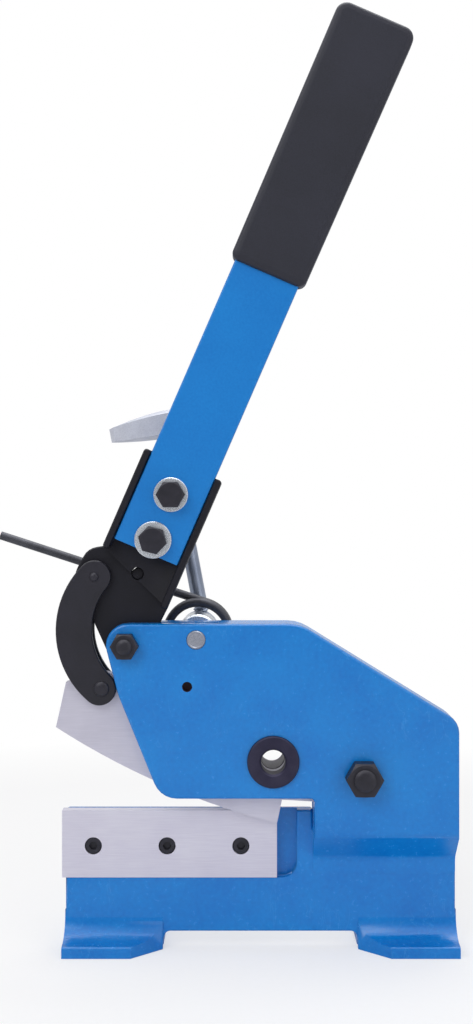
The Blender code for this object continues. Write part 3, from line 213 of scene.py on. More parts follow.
# %% A finish from its real sizes
def make_finish(name, tones, metallic, gloss, drift_mm, grain_mm, relief_mm, stretch=(1, 1, 1), turn=0,
                specular=0.5):
    """tones: two hex codes. gloss: smoothest and roughest. relief_mm: height of the grain."""
    mat = bpy.data.materials.new(name)
    mat.use_nodes = True
    tree = mat.node_tree
    shader = tree.nodes["Principled BSDF"]
    shader.inputs["Metallic"].default_value = metallic
    shader.inputs["Specular IOR Level"].default_value = specular
    place = add_node(tree, "TexCoord")
    lay = add_node(tree, "Mapping", {"Vector": place.outputs["Object"], "Rotation": (0, turn, 0),
                                     "Scale": stretch})
    drift = add_node(tree, "TexNoise", {"Vector": place.outputs["Object"], "Scale": per_mm(drift_mm),
                                        "Detail": 3.0})
    grain = add_node(tree, "TexNoise", {"Vector": lay.outputs[0], "Scale": per_mm(grain_mm), "Detail": 4.0})
    both = add_node(tree, "Math", {0: drift.outputs[0], 1: grain.outputs[0]}, operation="ADD")
    share = add_node(tree, "MapRange", {"Value": both.outputs[0], "From Min": 0.75, "From Max": 1.25})
    tone = add_node(tree, "Mix", {0: share.outputs[0], 6: linear(tones[0]), 7: linear(tones[1])},
                    data_type="RGBA")
    rough = add_node(tree, "MapRange", {"Value": grain.outputs[0], "From Min": 0.3, "From Max": 0.7,
                                        "To Min": gloss[0], "To Max": gloss[1]})
    bump = add_node(tree, "Bump", {"Height": grain.outputs[0], "Strength": 1.0, "Distance": relief_mm * MM})
    tree.links.new(tone.outputs[2], shader.inputs["Base Color"])
    tree.links.new(rough.outputs[0], shader.inputs["Roughness"])
    tree.links.new(bump.outputs[0], shader.inputs["Normal"])
    return mat


finish = {}


# %% [markdown]
# ### Blue enamel over the casting
#
# The frame is cast iron, wiped over and sprayed with blue enamel. The eye sees a
# strong even blue with orange peel in the gloss, slow waves of the sand mould under
# it, and a few pale streaks. The streaks are thin bands of a large wavy noise, in a
# lighter blue laid over the enamel's own colour.

# %% Sprayed blue enamel
def add_pale_streaks(mat, hex_code, size_mm, width, amount, stretch=(1, 1, 1)):
    """Pale, thin, wavering marks where a slow noise passes its middle value."""
    tree = mat.node_tree
    shader = tree.nodes["Principled BSDF"]
    below = shader.inputs["Base Color"].links[0].from_socket
    place = add_node(tree, "TexCoord")
    lay = add_node(tree, "Mapping", {"Vector": place.outputs["Object"], "Scale": stretch})
    wander = add_node(tree, "TexNoise", {"Vector": lay.outputs[0], "Scale": per_mm(size_mm), "Detail": 5.0,
                                         "Distortion": 1.2})
    off = add_node(tree, "Math", {0: wander.outputs[0], 1: 0.5}, operation="SUBTRACT")
    near = add_node(tree, "Math", {0: off.outputs[0]}, operation="ABSOLUTE")
    line = add_node(tree, "MapRange", {"Value": near.outputs[0], "From Min": 0.0, "From Max": width,
                                       "To Min": 1.0, "To Max": 0.0})
    patch = add_node(tree, "TexNoise", {"Vector": place.outputs["Object"], "Scale": per_mm(45),
                                        "Detail": 1.0})
    where = add_node(tree, "MapRange", {"Value": patch.outputs[0], "From Min": 0.48, "From Max": 0.62})
    both = add_node(tree, "Math", {0: line.outputs[0], 1: where.outputs[0]}, operation="MULTIPLY")
    weak = add_node(tree, "Math", {0: both.outputs[0], 1: amount}, operation="MULTIPLY")
    tone = add_node(tree, "Mix", {0: weak.outputs[0], 6: below, 7: linear(hex_code)}, data_type="RGBA")
    tree.links.new(tone.outputs[2], shader.inputs["Base Color"])


finish["casting_enamel"] = make_finish("blue_enamel_on_cast_iron", ("#0470C2", "#0B7ECD"), 0.0, (0.20, 0.28),
                                       34, 2.6, 0.008, specular=0.42)
# Thin streaks of a lighter blue are mixed into the enamel's colour in random patches.
add_pale_streaks(finish["casting_enamel"], "#4C9EDD", 17, 0.008, 0.36, stretch=(1, 1, 0.40))
finish["bar_enamel"] = make_finish("blue_enamel_on_rolled_steel", ("#0673C3", "#0A7CCB"), 0.0, (0.28, 0.38),
                                   40, 1.6, 0.006, specular=0.42)
print("enamels:", [mat.name for mat in bpy.data.materials if "enamel" in mat.name])

# %% [markdown]
# ### Steels
#
# The blades are ground: fine straight scratches along their length, which blur the
# shine across them. Bolts and screws are blackened in hot oil and look almost black
# with a dull sheen. Washers and the pin are bright zinc plate. The clamp's screw is
# drawn bar, streaked along its axis. Real scratches are finer than a pixel, so they
# are drawn about three times as coarse, just enough to show.

# %% Metal finishes
finish["ground_steel"] = make_finish("surface_ground_tool_steel", ("#C9C6D6", "#D3D1DE"), 0.45, (0.34, 0.44),
                                     35, 0.7, 0.006, stretch=(0.05, 1, 1))
finish["ground_blade"] = make_finish("ground_curved_tool_steel", ("#BFBDCC", "#CAC8D6"), 0.45, (0.36, 0.46),
                                     35, 0.7, 0.005, stretch=(0.05, 1, 1), turn=math.radians(-27))
finish["black_oxide"] = make_finish("black_oxide_steel", ("#1E1E27", "#2B2A34"), 0.35, (0.34, 0.55),
                                    6, 0.5, 0.006, specular=0.5)
finish["black_casting"] = make_finish("satin_black_paint_on_casting", ("#101018", "#171721"), 0.0,
                                      (0.46, 0.58), 22, 1.1, 0.02, specular=0.25)
finish["link_black"] = make_finish("satin_black_forging", ("#171720", "#201F2A"), 0.0, (0.40, 0.56),
                                   18, 0.9, 0.02, specular=0.38)
finish["bush_steel"] = make_finish("hardened_blue_black_steel", ("#25233A", "#333146"), 0.45, (0.38, 0.55),
                                   9, 0.4, 0.015, specular=0.4)
finish["zinc_plate"] = make_finish("bright_zinc_plate", ("#D2D8E1", "#E0E5EC"), 0.65, (0.22, 0.32),
                                   9, 0.4, 0.003)
finish["turned_face"] = make_finish("turned_bright_pin", ("#9094A1", "#A3A7B3"), 0.55, (0.24, 0.34),
                                    8, 0.3, 0.002)
finish["drawn_steel"] = make_finish("drawn_bright_steel", ("#7F889A", "#99A2B3"), 0.70, (0.26, 0.42),
                                    20, 0.6, 0.012, stretch=(1, 1, 0.05), turn=math.radians(10.7))
finish["die_cast"] = make_finish("sand_cast_grey_alloy", ("#B9BCC9", "#CDD0DB"), 0.20, (0.42, 0.58),
                                 16, 0.9, 0.02)
finish["spring_wire"] = make_finish("oil_hardened_spring_wire", ("#34353C", "#4A4B52"), 0.45, (0.34, 0.52),
                                    12, 0.6, 0.02, specular=0.4)
finish["oily_rust"] = make_finish("rust_and_old_oil", ("#3A262B", "#4D343B"), 0.0, (0.45, 0.70),
                                  3, 0.4, 0.02, specular=0.4)
print("metal finishes:", len(finish) - 2)

# %% [markdown]
# ### Dipped vinyl
#
# The grip is soft black vinyl that the bar was dipped into. It is almost matt, has
# a bluish sheen towards the light, and a very fine pebble from the cooling skin.

# %% Vinyl of the grip
finish["vinyl"] = make_finish("dipped_matt_vinyl", ("#1D1E28", "#262733"), 0.0, (0.46, 0.60),
                              60, 0.8, 0.02, specular=0.35)
shader = finish["vinyl"].node_tree.nodes["Principled BSDF"]
shader.inputs["Sheen Weight"].default_value = 0.12
shader.inputs["Sheen Roughness"].default_value = 0.5
shader.inputs["Sheen Tint"].default_value = linear("#AEB4D0")
print("finishes in all:", len(finish))


# %% [markdown]
# ## Helpers for modelling by hand
#
# An operator works on everything that is selected, so each piece starts with an
# empty selection. A finished piece is handed over: it gets its finish, rides on its
# body, and stands for the CAD node that it replaces.

# %% Start, smooth and hand over a piece
def clear_selection():
    if bpy.context.object and bpy.context.object.mode != "OBJECT":
        bpy.ops.object.mode_set(mode="OBJECT")
    bpy.ops.object.select_all(action="DESELECT")


def select_only(*pieces):
    """Select these pieces and nothing else. The last one is the active one."""
    clear_selection()
    for piece in pieces:
        piece.select_set(True)
    bpy.context.view_layer.objects.active = pieces[-1]


def begin(name):
    """Name the primitive that was just added, and open it for editing."""
    piece = bpy.context.object
    piece.name = piece.data.name = name
    bpy.ops.object.mode_set(mode="EDIT")
    bpy.ops.mesh.select_mode(type="VERT")
    return piece


def end(piece):
    """Close the edit with all faces pointing outwards."""
    bpy.ops.mesh.select_all(action="SELECT")
    bpy.ops.mesh.remove_doubles(threshold=0.000002)
    bpy.ops.mesh.normals_make_consistent(inside=False)
    bpy.ops.object.mode_set(mode="OBJECT")
    return piece


def pick(test, kind="faces"):
    """Select the faces, edges or corners in edit mode whose middle and normal pass a test."""
    piece = bpy.context.object
    bpy.ops.mesh.select_all(action="DESELECT")
    bpy.ops.mesh.select_mode(type={"faces": "FACE", "edges": "EDGE", "verts": "VERT"}[kind])
    shape = bmesh.from_edit_mesh(piece.data)
    count = 0
    for item in getattr(shape, kind):
        if kind == "faces":
            chosen = test(item.calc_center_median(), item.normal)
        elif kind == "edges":
            ends = [vert.co for vert in item.verts]
            chosen = test((ends[0] + ends[1]) / 2, (ends[1] - ends[0]).normalized())
        else:
            chosen = test(item.co, item.normal)
        item.select_set(chosen)
        count += chosen
    shape.select_flush_mode()
    bmesh.update_edit_mesh(piece.data)
    return count


def use_modifier(piece, kind, **settings):
    """Add a modifier, set it and apply it."""
    select_only(piece)
    modifier = piece.modifiers.new(kind.lower(), kind)
    for name, value in settings.items():
        setattr(modifier, name, value)
    bpy.ops.object.modifier_apply(modifier=modifier.name)
    return piece


def soften(piece, width, segments=2, angle=30):
    """Round the sharp edges, then shade so that flat faces stay flat."""
    if width:
        use_modifier(piece, "BEVEL", width=width * MM, segments=segments, limit_method="ANGLE",
                     angle_limit=math.radians(angle), miter_outer="MITER_ARC", use_clamp_overlap=True)
    select_only(piece)
    bpy.ops.object.shade_smooth_by_angle(angle=math.radians(40))
    use_modifier(piece, "WEIGHTED_NORMAL", keep_sharp=True, weight=60)
    return piece


def settle(piece, place, lean):
    """Lean a piece that was modelled at zero, and move its corners to their place."""
    piece.data.transform(Matrix.Translation(place) @ Matrix.Rotation(lean, 4, "Y"))
    return piece


def hand_over(piece, body, slot, finish_name, *nodes):
    piece.data.materials.clear()
    piece.data.materials.append(finish[finish_name])
    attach(piece, body)
    if nodes:
        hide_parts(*nodes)
    low = [min(vert.co[i] for vert in piece.data.vertices) for i in range(3)]
    high = [max(vert.co[i] for vert in piece.data.vertices) for i in range(3)]
    size = [round((b - a) / MM, 1) for a, b in zip(low, high)]
    print(piece.name, size, "mm,", len(piece.data.polygons), "faces")
    if nodes:
        cad_low, cad_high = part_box(nodes[0])
        off = [(a - b) / MM for a, b in zip([*low, *high], [*cad_low, *cad_high])]
        if max(abs(step) for step in off) > 0.15:
            print("  differs from", nodes[0], "by", [round(step, 2) for step in off])
    return piece


# %% [markdown]
# ## Castings and plates whose CAD shape is right
#
# The frame, the lever's block and the clamp's swivel have their true shape in the
# CAD model already, but as loose flat triangles. A copy of each is merged, its flat
# faces are joined again, and it is shaded smooth; only the upper blade, copied the
# same way, also has its edges rounded. Weighted normals keep the large cheeks flat
# beside their rounded rims.

# %% Copy a CAD node and make it smooth
def refined_copy(node, width=0):
    piece = bpy.data.objects.new(node + "_surface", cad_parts[node].data.copy())
    bpy.context.scene.collection.objects.link(piece)
    select_only(piece)
    bpy.ops.object.mode_set(mode="EDIT")
    bpy.ops.mesh.select_all(action="SELECT")
    bpy.ops.mesh.remove_doubles(threshold=0.000005)
    bpy.ops.mesh.dissolve_limited(angle_limit=math.radians(0.8))
    bpy.ops.object.mode_set(mode="OBJECT")
    return soften(piece, width)


OIL_HOLE, OIL_HOLE_R = (-48.1, 176.9), 3.35
casting = hand_over(refined_copy("frame_casting"), "frame", "blue_paint", "casting_enamel", "frame_casting")
casting.data.materials.append(finish["oily_rust"])
for face in casting.data.polygons:
    off = (face.center - at(OIL_HOLE[0], 0, OIL_HOLE[1])) / MM
    if math.hypot(off.x, off.z) < OIL_HOLE_R + 0.1 and -17.5 < off.y < -9:
        face.material_index = 1
print("faces of the oil hole:", sum(face.material_index for face in casting.data.polygons))
hand_over(refined_copy("handle_block"), "lever", "black_casting", "black_casting", "handle_block")
hand_over(refined_copy("hold_down_swivel"), "swivel", "bare_steel", "drawn_steel", "hold_down_swivel")
hand_over(refined_copy("upper_blade", 0.35), "blade", "ground_steel", "ground_blade", "upper_blade")

# %% [markdown]
# ## Sketching an outline with arcs
#
# A plate begins as one corner: a plane whose four corners are merged. From there a
# straight side is an extrude, and a round one is a spin round its centre. The last
# stroke ends where the first began, the outline is filled, and the face is extruded
# through the plate's thickness.

# %% Draw plates from lines and arcs
def sketch_plate(name, start, strokes, near, far):
    """strokes: ("line", (x, z)) or ("arc", centre, degrees); all in millimetres on the drawing."""
    clear_selection()
    y = BENCH_ZERO.y + near * MM
    bpy.ops.mesh.primitive_plane_add(size=MM, location=(0, 0, 0))
    piece = begin(name)
    bpy.ops.mesh.select_all(action="SELECT")
    bpy.ops.mesh.merge(type="CENTER")
    shape = bmesh.from_edit_mesh(piece.data)
    here = Vector((start[0], 0, start[1]))
    for vert in shape.verts:
        vert.co = here * MM + Vector((BENCH_ZERO.x, y, 0))
        vert.select_set(True)
    bmesh.update_edit_mesh(piece.data)
    for stroke in strokes:
        if stroke[0] == "line":
            there = Vector((stroke[1][0], 0, stroke[1][1]))
            bpy.ops.mesh.extrude_region_move(TRANSFORM_OT_translate={"value": (there - here) * MM})
            here = there
            continue
        centre = Vector((stroke[1][0], 0, stroke[1][1]))
        sweep = math.radians(stroke[2])
        place = centre * MM + Vector((BENCH_ZERO.x, y, 0))
        bpy.ops.mesh.spin(steps=max(2, round(abs(stroke[2]) / 4)), angle=sweep, center=place, axis=(0, 1, 0))
        reach = here - centre
        here = centre + Matrix.Rotation(-sweep, 3, "Y") @ reach
    bpy.ops.mesh.select_all(action="SELECT")
    bpy.ops.mesh.remove_doubles(threshold=0.00002)
    bpy.ops.mesh.edge_face_add()
    bpy.ops.mesh.extrude_region_move(TRANSFORM_OT_translate={"value": (0, (far - near) * MM, 0)})
    return end(piece)


def touching_arcs(a, radius_a, b, radius_b, reach, hollow=False):
    """Centre of an arc that touches two circles, on the right of A to B."""
    sign = 1 if hollow else -1
    from_a, from_b = reach + sign * radius_a, reach + sign * radius_b
    a, b = Vector(a), Vector(b)
    gap = (b - a).length
    along = (from_a**2 - from_b**2 + gap**2) / (2 * gap)
    forward = (b - a) / gap
    return a + forward * along + Vector((forward.y, -forward.x)) * math.sqrt(from_a**2 - along**2)


def angle_at(centre, point):
    return math.degrees(math.atan2(point[1] - centre[1], point[0] - centre[0]))


def on_circle(centre, radius, degrees):
    return (centre[0] + radius * math.cos(math.radians(degrees)),
            centre[1] + radius * math.sin(math.radians(degrees)))


# %% [markdown]
# ### The C-shaped links
#
# Each link is a flat black plate bent like a C in its own plane, so that it clears
# the lever's pivot. Its outline is four arcs that run into each other: two round
# eyes, a long outer arc and a tighter inner one.

# %% Make the two links
LINK_TOP, LINK_LOW = (-109.24, 248.17), (-105.9, 174.9)
LINK_TOP_R, LINK_LOW_R, LINK_OUTER_R, LINK_INNER_R = 10.8, 11.0, 61.0, 44.0
outer = touching_arcs(LINK_LOW, LINK_LOW_R, LINK_TOP, LINK_TOP_R, LINK_OUTER_R)
inner = touching_arcs(LINK_LOW, LINK_LOW_R, LINK_TOP, LINK_TOP_R, LINK_INNER_R, hollow=True)


def turn_between(first, last, clockwise=False):
    sweep = (last - first) % 360
    return sweep - 360 if clockwise else sweep


def link_plate(name, near, far):
    out_top, out_low = angle_at(outer, LINK_TOP), angle_at(outer, LINK_LOW)
    in_low, in_top = angle_at(LINK_LOW, inner), angle_at(LINK_TOP, inner)
    start = on_circle(outer, LINK_OUTER_R, out_top)
    strokes = [
        ("arc", outer, turn_between(out_top, out_low)),
        ("arc", LINK_LOW, turn_between(out_low, in_low)),
        ("arc", inner, turn_between(in_low + 180, in_top + 180, clockwise=True)),
        ("arc", LINK_TOP, turn_between(in_top, out_top)),
    ]
    return soften(sketch_plate(name, start, strokes, near, far), 0.9, 3)


hand_over(link_plate("link_near_plate", -13.0, -8.0), "links", "black_casting", "link_black", "link_near")
hand_over(link_plate("link_far_plate", 0.0, 5.0), "links", "black_casting", "link_black", "link_far")


# %% [markdown]
# ## Turned pieces
#
# Washers, pins, bushes and screw tails all come off a lathe. By hand, that is a
# circle that is extruded and resized once for each step of the profile. A piece
# with a hole goes on down the inside and ends where it began.

# %% Turn a profile
def lathe(name, profile, sides=64, hollow=False):
    """profile: (radius, height) in millimetres, upwards. The piece stands on zero, along Z."""
    clear_selection()
    radius, height = profile[0]
    bpy.ops.mesh.primitive_circle_add(vertices=sides, radius=radius * MM, location=(0, 0, height * MM),
                                      fill_type="NOTHING" if hollow else "NGON")
    piece = begin(name)
    bpy.ops.mesh.select_all(action="SELECT")
    for wide, high in list(profile[1:]) + (list(profile[:1]) if hollow else []):
        bpy.ops.mesh.extrude_region_move(TRANSFORM_OT_translate={"value": (0, 0, (high - height) * MM)})
        bpy.ops.transform.resize(value=(wide / radius, wide / radius, 1), center_override=(0, 0, high * MM))
        radius, height = wide, high
    end(piece)
    bpy.ops.object.transform_apply(location=True, rotation=True, scale=True)
    return piece


def lay_along_y(piece, x, y, z):
    """A turned piece's height becomes its depth: zero goes to Y = y and it grows away from the viewer."""
    piece.data.transform(Matrix.Translation(at(x, y, z)) @ Matrix.Rotation(-math.pi / 2, 4, "X"))
    return piece


def washer_profile(outer_r, inner_r, thick, edge):
    return [(inner_r, 0), (outer_r - edge, 0), (outer_r, edge), (outer_r, thick - edge),
            (outer_r - edge, thick), (inner_r, thick)]


# %% [markdown]
# ### Bushes, pin and sleeve
#
# Round bar is cropped in the hole of a hardened bush in each cheek. The near one has
# a flange with a small chamfer at the bore. The bright pin beside them carries the
# spring's sleeve and the swivel of the clamp; its end is turned with a shallow dish
# and a bright rim.

# %% Turn the bushes, the pin and the sleeve
BAR_HOLE, HOLD_PIVOT = (8.0, 128.2), (-42.3, 207.4)
near_bush = lathe("bar_bush_near_turned", [
    (8.0, 12.5), (8.0, 1.2), (9.2, 0.0), (15.9, 0.0), (16.5, 0.3), (17.0, 1.1), (17.0, 2.5), (13.8, 2.5),
    (13.8, 12.5)], 96, hollow=True)
soften(lay_along_y(near_bush, BAR_HOLE[0], -20.8, BAR_HOLE[1]), 0)
hand_over(near_bush, "frame", "bush_steel", "bush_steel", "bar_bush_near")
far_bush = lathe("bar_bush_far_turned", [
    (8.0, 0.0), (13.8, 0.0), (13.8, 13.3), (17.0, 13.3), (17.0, 15.8), (12.8, 15.8), (12.8, 26.9),
    (11.9, 27.8), (8.9, 27.8), (8.0, 26.9)], 96, hollow=True)
soften(lay_along_y(far_bush, BAR_HOLE[0], 0, BAR_HOLE[1]), 0)
hand_over(far_bush, "frame", "bush_steel", "bush_steel", "bar_bush_far")
pin = lathe("hold_down_pin_turned", [
    (4.5, 0.5), (5.0, 0.0), (5.4, 0.0), (6.0, 0.6), (6.0, 63.3), (5.3, 64.1)], 64)
soften(lay_along_y(pin, HOLD_PIVOT[0], -18.6, HOLD_PIVOT[1]), 0)
hand_over(pin, "frame", "zinc_steel", "turned_face", "hold_down_pin")
sleeve = lathe("spring_sleeve_turned", [
    (6.3, 0.0), (12.8, 0.0), (14.0, 1.2), (14.0, 22.4), (12.8, 23.6), (6.3, 23.6)], 64, hollow=True)
soften(lay_along_y(sleeve, HOLD_PIVOT[0], 13.3, HOLD_PIVOT[1]), 0)
hand_over(sleeve, "frame", "zinc_steel", "zinc_plate", "spring_sleeve")

# %% [markdown]
# ### Washers
#
# Washers are stamped from sheet, which rounds their rims. Each is turned here to its
# own radii. The washers of the handle's screws lean with the lever.

# %% Turn the washers
LEAN = math.radians(23.5)
HANDLE_PIVOT, BLADE_PIVOT = (-88.5, 203.6), (66.8, 118.1)
BAR_OFFSET, BAR_FOOT = -11.9, 61.4
SCREWS = {"lower": (1.3, 9.2, 12.0), "upper": (0.2, 40.7, 11.2)}


def on_lever(x, z):
    """A place on the upright lever, on the drawing of the leaning one."""
    return (HANDLE_PIVOT[0] + x * math.cos(LEAN) + z * math.sin(LEAN),
            HANDLE_PIVOT[1] - x * math.sin(LEAN) + z * math.cos(LEAN))


def depth_of(node):
    low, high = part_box(node)
    return (low.y - BENCH_ZERO.y) / MM, (high.y - BENCH_ZERO.y) / MM


screw_places = {label: on_lever(BAR_OFFSET + aside, BAR_FOOT + rise)
                for label, (aside, rise, _) in SCREWS.items()}
washers = [("handle_pivot_washer", HANDLE_PIVOT, 10.0, 5.3, "frame"),
           ("blade_pivot_washer", BLADE_PIVOT, 14.0, 7.3, "frame")]
washers += [("handle_washer_" + label, screw_places[label], SCREWS[label][2], 5.3, "lever")
            for label in SCREWS]
washers += [("handle_back_washer_" + label, screw_places[label], 10.5, 5.3, "lever")
            for label in SCREWS]
for node, centre, outer_r, inner_r, body in washers:
    near, far = depth_of(node)
    ring = lathe(node + "_turned", washer_profile(outer_r, inner_r, 2.0, 0.45), hollow=True)
    soften(lay_along_y(ring, centre[0], near, centre[1]), 0)
    hand_over(ring, body, "zinc_steel", "zinc_plate", node)

# %% [markdown]
# ## Nuts and bolts
#
# A nut starts as a six-sided prism. The machinist turns its corners off with a
# 30-degree cone, so a wide cone is intersected with it, and its bore is drilled.
# A bolt's tail is turned with a rounded point and its thread shows as fine grooves.

# %% Cut hexagons and threads
def add_cutter(radius, depth, middle, sides=64):
    clear_selection()
    bpy.ops.mesh.primitive_cylinder_add(vertices=sides, radius=radius * MM, depth=depth * MM,
                                        location=(0, 0, middle * MM))
    bpy.ops.object.transform_apply(location=True, rotation=True, scale=True)
    return bpy.context.object


def cut_with(piece, tool, operation="DIFFERENCE"):
    use_modifier(piece, "BOOLEAN", object=tool, operation=operation, solver="EXACT")
    bpy.data.objects.remove(tool, do_unlink=True)
    return piece


def hexagon(name, across_flats, height, bore=0, turn=0):
    """Stands on zero; its turned face is at the bottom, which becomes the near side."""
    clear_selection()
    bpy.ops.mesh.primitive_cylinder_add(vertices=6, radius=across_flats / math.sqrt(3) * MM,
                                        depth=height * MM, location=(0, 0, height / 2 * MM))
    piece = begin(name)
    end(piece)
    bpy.ops.object.transform_apply(location=True, rotation=True, scale=True)
    piece.data.transform(Matrix.Rotation(math.radians(30) + turn, 4, "Z"))
    rim = across_flats / 2 * 0.93
    wide = across_flats * 0.7
    cone = lathe(name + "_cone", [
        (rim, 0.0), (wide, (wide - rim) * math.tan(math.radians(30))), (wide, height + 1)], 96)
    cut_with(piece, cone, "INTERSECT")
    if bore:
        cut_with(piece, add_cutter(bore, height * 3, height / 2))
    return soften(piece, 0.18, 2)


def threaded_tail(radius, start, length, pitch=1.5):
    """Profile of a rounded point with thread grooves behind it."""
    depth = pitch * 0.42
    tip = start
    profile = [(radius * 0.35, tip), (radius * 0.70, tip + 0.25), (radius - depth, tip + 0.9)]
    height = tip + 0.9
    while height + pitch <= tip + length:
        profile += [(radius, height + pitch * 0.35), (radius, height + pitch * 0.50),
                    (radius - depth, height + pitch * 0.88), (radius - depth, height + pitch)]
        height += pitch
    return profile


def flip_along_y(piece, x, y, z):
    """As lay_along_y, but the piece grows towards the viewer from Y = y."""
    piece.data.transform(Matrix.Translation(at(x, y, z)) @ Matrix.Rotation(math.pi / 2, 4, "X"))
    return piece


# %% Make the two pivot bolts and their nuts
for prefix, centre, radius, across, nut_t, head_t in (
    ("handle_pivot", HANDLE_PIVOT, 5.0, 16.0, 8.0, 6.4),
    ("blade_pivot", BLADE_PIVOT, 7.0, 21.3, 11.0, 8.8),
):
    nut = hexagon(prefix + "_nut_turned", across, nut_t, radius + 0.05)
    near, far = depth_of(prefix + "_nut")
    hand_over(lay_along_y(nut, centre[0], near, centre[1]), "frame", "black_oxide", "black_oxide",
              prefix + "_nut")
    near, far = depth_of(prefix + "_bolt")
    length = far - near - head_t
    tail = threaded_tail(radius, 0, 13.0)
    bolt = soften(lathe(prefix + "_bolt_turned", tail + [(radius, 14.5), (radius, length + 1)]), 0)
    lay_along_y(bolt, centre[0], near, centre[1])
    head = flip_along_y(hexagon(prefix + "_bolt_head", across, head_t), centre[0], far, centre[1])
    select_only(head, bolt)
    bpy.ops.object.join()
    hand_over(bolt, "frame", "black_oxide", "black_oxide", prefix + "_bolt")

# %% [markdown]
# ### The handle's two screws
#
# Black hexagon screws on bright washers clamp the bar to the block. They aren't
# turned alike, as the photograph shows, and their nuts are bright.

# %% Make the handle's screws and nuts
for label, (x, z) in screw_places.items():
    turn = math.radians(-14) if label == "lower" else 0.0
    near, far = depth_of("handle_screw_" + label)
    head = hexagon("handle_screw_" + label + "_forged", 16.3, 6.4, turn=-turn)
    lay_along_y(head, x, near, z)
    tail = threaded_tail(5.0, 0, 12.0)
    shank = soften(lathe("handle_shank_" + label, tail + [(5.0, 13.0), (5.0, far - near - 5.4)]), 0)
    flip_along_y(shank, x, far, z)
    select_only(shank, head)
    bpy.ops.object.join()
    hand_over(head, "lever", "black_oxide", "black_oxide", "handle_screw_" + label)
    near, far = depth_of("handle_nut_" + label)
    nut = flip_along_y(hexagon("handle_nut_" + label + "_turned", 16.3, 8.0, 5.05, turn=turn), x, far, z)
    hand_over(nut, "lever", "zinc_steel", "zinc_plate", "handle_nut_" + label)

# %% [markdown]
# ## The lower blade and its screws
#
# The lower blade is a plain ground bar, let into the wall. Its cutting corners are
# left sharp, with only a hair of a bevel to catch the light. Three countersunk
# socket screws hold it: each lies just under the face, dark, with a hexagon socket.

# %% Make the lower blade
low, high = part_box("lower_blade")
clear_selection()
bpy.ops.mesh.primitive_cube_add(size=1, location=(low + high) / 2, scale=high - low)
lower_blade = end(begin("lower_blade_ground"))
select_only(lower_blade)
bpy.ops.object.transform_apply(location=True, rotation=True, scale=True)
BLADE_SCREWS = [(-132.0 + 20.8 + i * 49.05, 92.3 - 44.6 + 21.0) for i in range(3)]
for x, z in BLADE_SCREWS:
    seat = lathe("seat", [(5.7, -1.0), (5.7, 2.7), (3.3, 5.3), (3.3, 9.0)])
    cut_with(lower_blade, lay_along_y(seat, x, 0, z))
soften(lower_blade, 0.25, 2)
hand_over(lower_blade, "frame", "ground_steel", "ground_steel", "lower_blade")

# %% Make its countersunk screws and nuts
for number, (x, z) in enumerate(BLADE_SCREWS, 1):
    node = "lower_blade_screw_" + str(number)
    near, far = depth_of(node)
    profile = [(4.9, 0.0), (5.4, 0.45), (5.4, 2.1), (3.0, 4.7), (3.0, far - near - 1.0), (2.1, far - near)]
    screw = lathe(node + "_turned", profile)
    socket = hexagon("socket", 5.0, 4.4)
    socket.data.transform(Matrix.Translation((0, 0, -2 * MM)))
    cut_with(screw, socket)
    soften(screw, 0.15, 2)
    hand_over(lay_along_y(screw, x, near, z), "frame", "black_oxide", "black_oxide", node)
    node = "lower_blade_nut_" + str(number)
    near, far = depth_of(node)
    nut = flip_along_y(hexagon(node + "_turned", 10.0, 5.0, 3.05), x, far, z)
    hand_over(nut, "frame", "zinc_steel", "zinc_plate", node)

# %% [markdown]
# ## The handle
#
# The lever's bar is a flat blue bar. It is modelled upright round the lever's pivot
# and leaned with it, as a maker would draw it. Its long edges are slightly rounded,
# as rolled bar is.

# %% Make the bar
bar_near, bar_far = depth_of("handle_bar")
clear_selection()
bpy.ops.mesh.primitive_cube_add(size=1, location=(BAR_OFFSET * MM, (bar_near + bar_far) / 2 * MM,
                                                  (BAR_FOOT + 184.0) * MM), scale=(0.0448, 0.0080, 0.3680))
bar = begin("handle_bar_rolled")
end(bar)
bpy.ops.object.transform_apply(location=True, rotation=True, scale=True)
for label, (aside, rise, _) in SCREWS.items():
    hole = add_cutter(5.3, 30, 0, 48)
    hole.data.transform(Matrix.Translation(Vector((BAR_OFFSET + aside, bar_near, BAR_FOOT + rise)) * MM)
                        @ Matrix.Rotation(math.pi / 2, 4, "X"))
    cut_with(bar, hole)
soften(bar, 0.9, 3)
lever_foot = at(HANDLE_PIVOT[0], 0, HANDLE_PIVOT[1])
settle(bar, lever_foot, LEAN)
hand_over(bar, "lever", "blue_paint", "bar_enamel", "handle_bar")

# %% [markdown]
# ### The grip
#
# The sleeve is a soft moulding: flat faces that swell a little, round edges, larger
# corners at the top than at its mouth, and a hollow for the bar. It starts as a box
# whose upright corners are bevelled, whose faces are inset and pushed out for the
# swell, and whose rim is bevelled in turn.

# %% Make the grip
grip_near, grip_far = depth_of("handle_grip")
GRIP_FOOT, GRIP_TOP = BAR_FOOT + 197.0, BAR_FOOT + 379.5
middle_y = (grip_near + grip_far) / 2
clear_selection()
bpy.ops.mesh.primitive_cube_add(size=1, location=(BAR_OFFSET * MM, middle_y * MM,
                                                  (GRIP_FOOT + GRIP_TOP) / 2 * MM),
                                scale=(0.0520, 0.01548, 0.1825))
bpy.ops.object.transform_apply(location=True, rotation=True, scale=True)
grip = begin("handle_grip_dipped")
pick(lambda co, normal: normal.z > 0.9)
bpy.ops.transform.resize(value=(54.2 / 52.0, 1, 1),
                         center_override=(BAR_OFFSET * MM, middle_y * MM, GRIP_TOP * MM))
for level, radius in ((GRIP_FOOT, 5.4), (GRIP_TOP, 7.8)):
    pick(lambda co, along: abs(along.y) > 0.9 and abs(co.z - level * MM) < MM, "edges")
    bpy.ops.mesh.bevel(offset=radius * MM, segments=8, affect="EDGES")
for side in (-1, 1):
    pick(lambda co, normal: normal.y * side > 0.9)
    for inset, push in ((3.2, 0.0), (0.8, 0.16), (1.0, 0.10)):
        bpy.ops.mesh.inset(thickness=inset * MM, depth=push * MM)
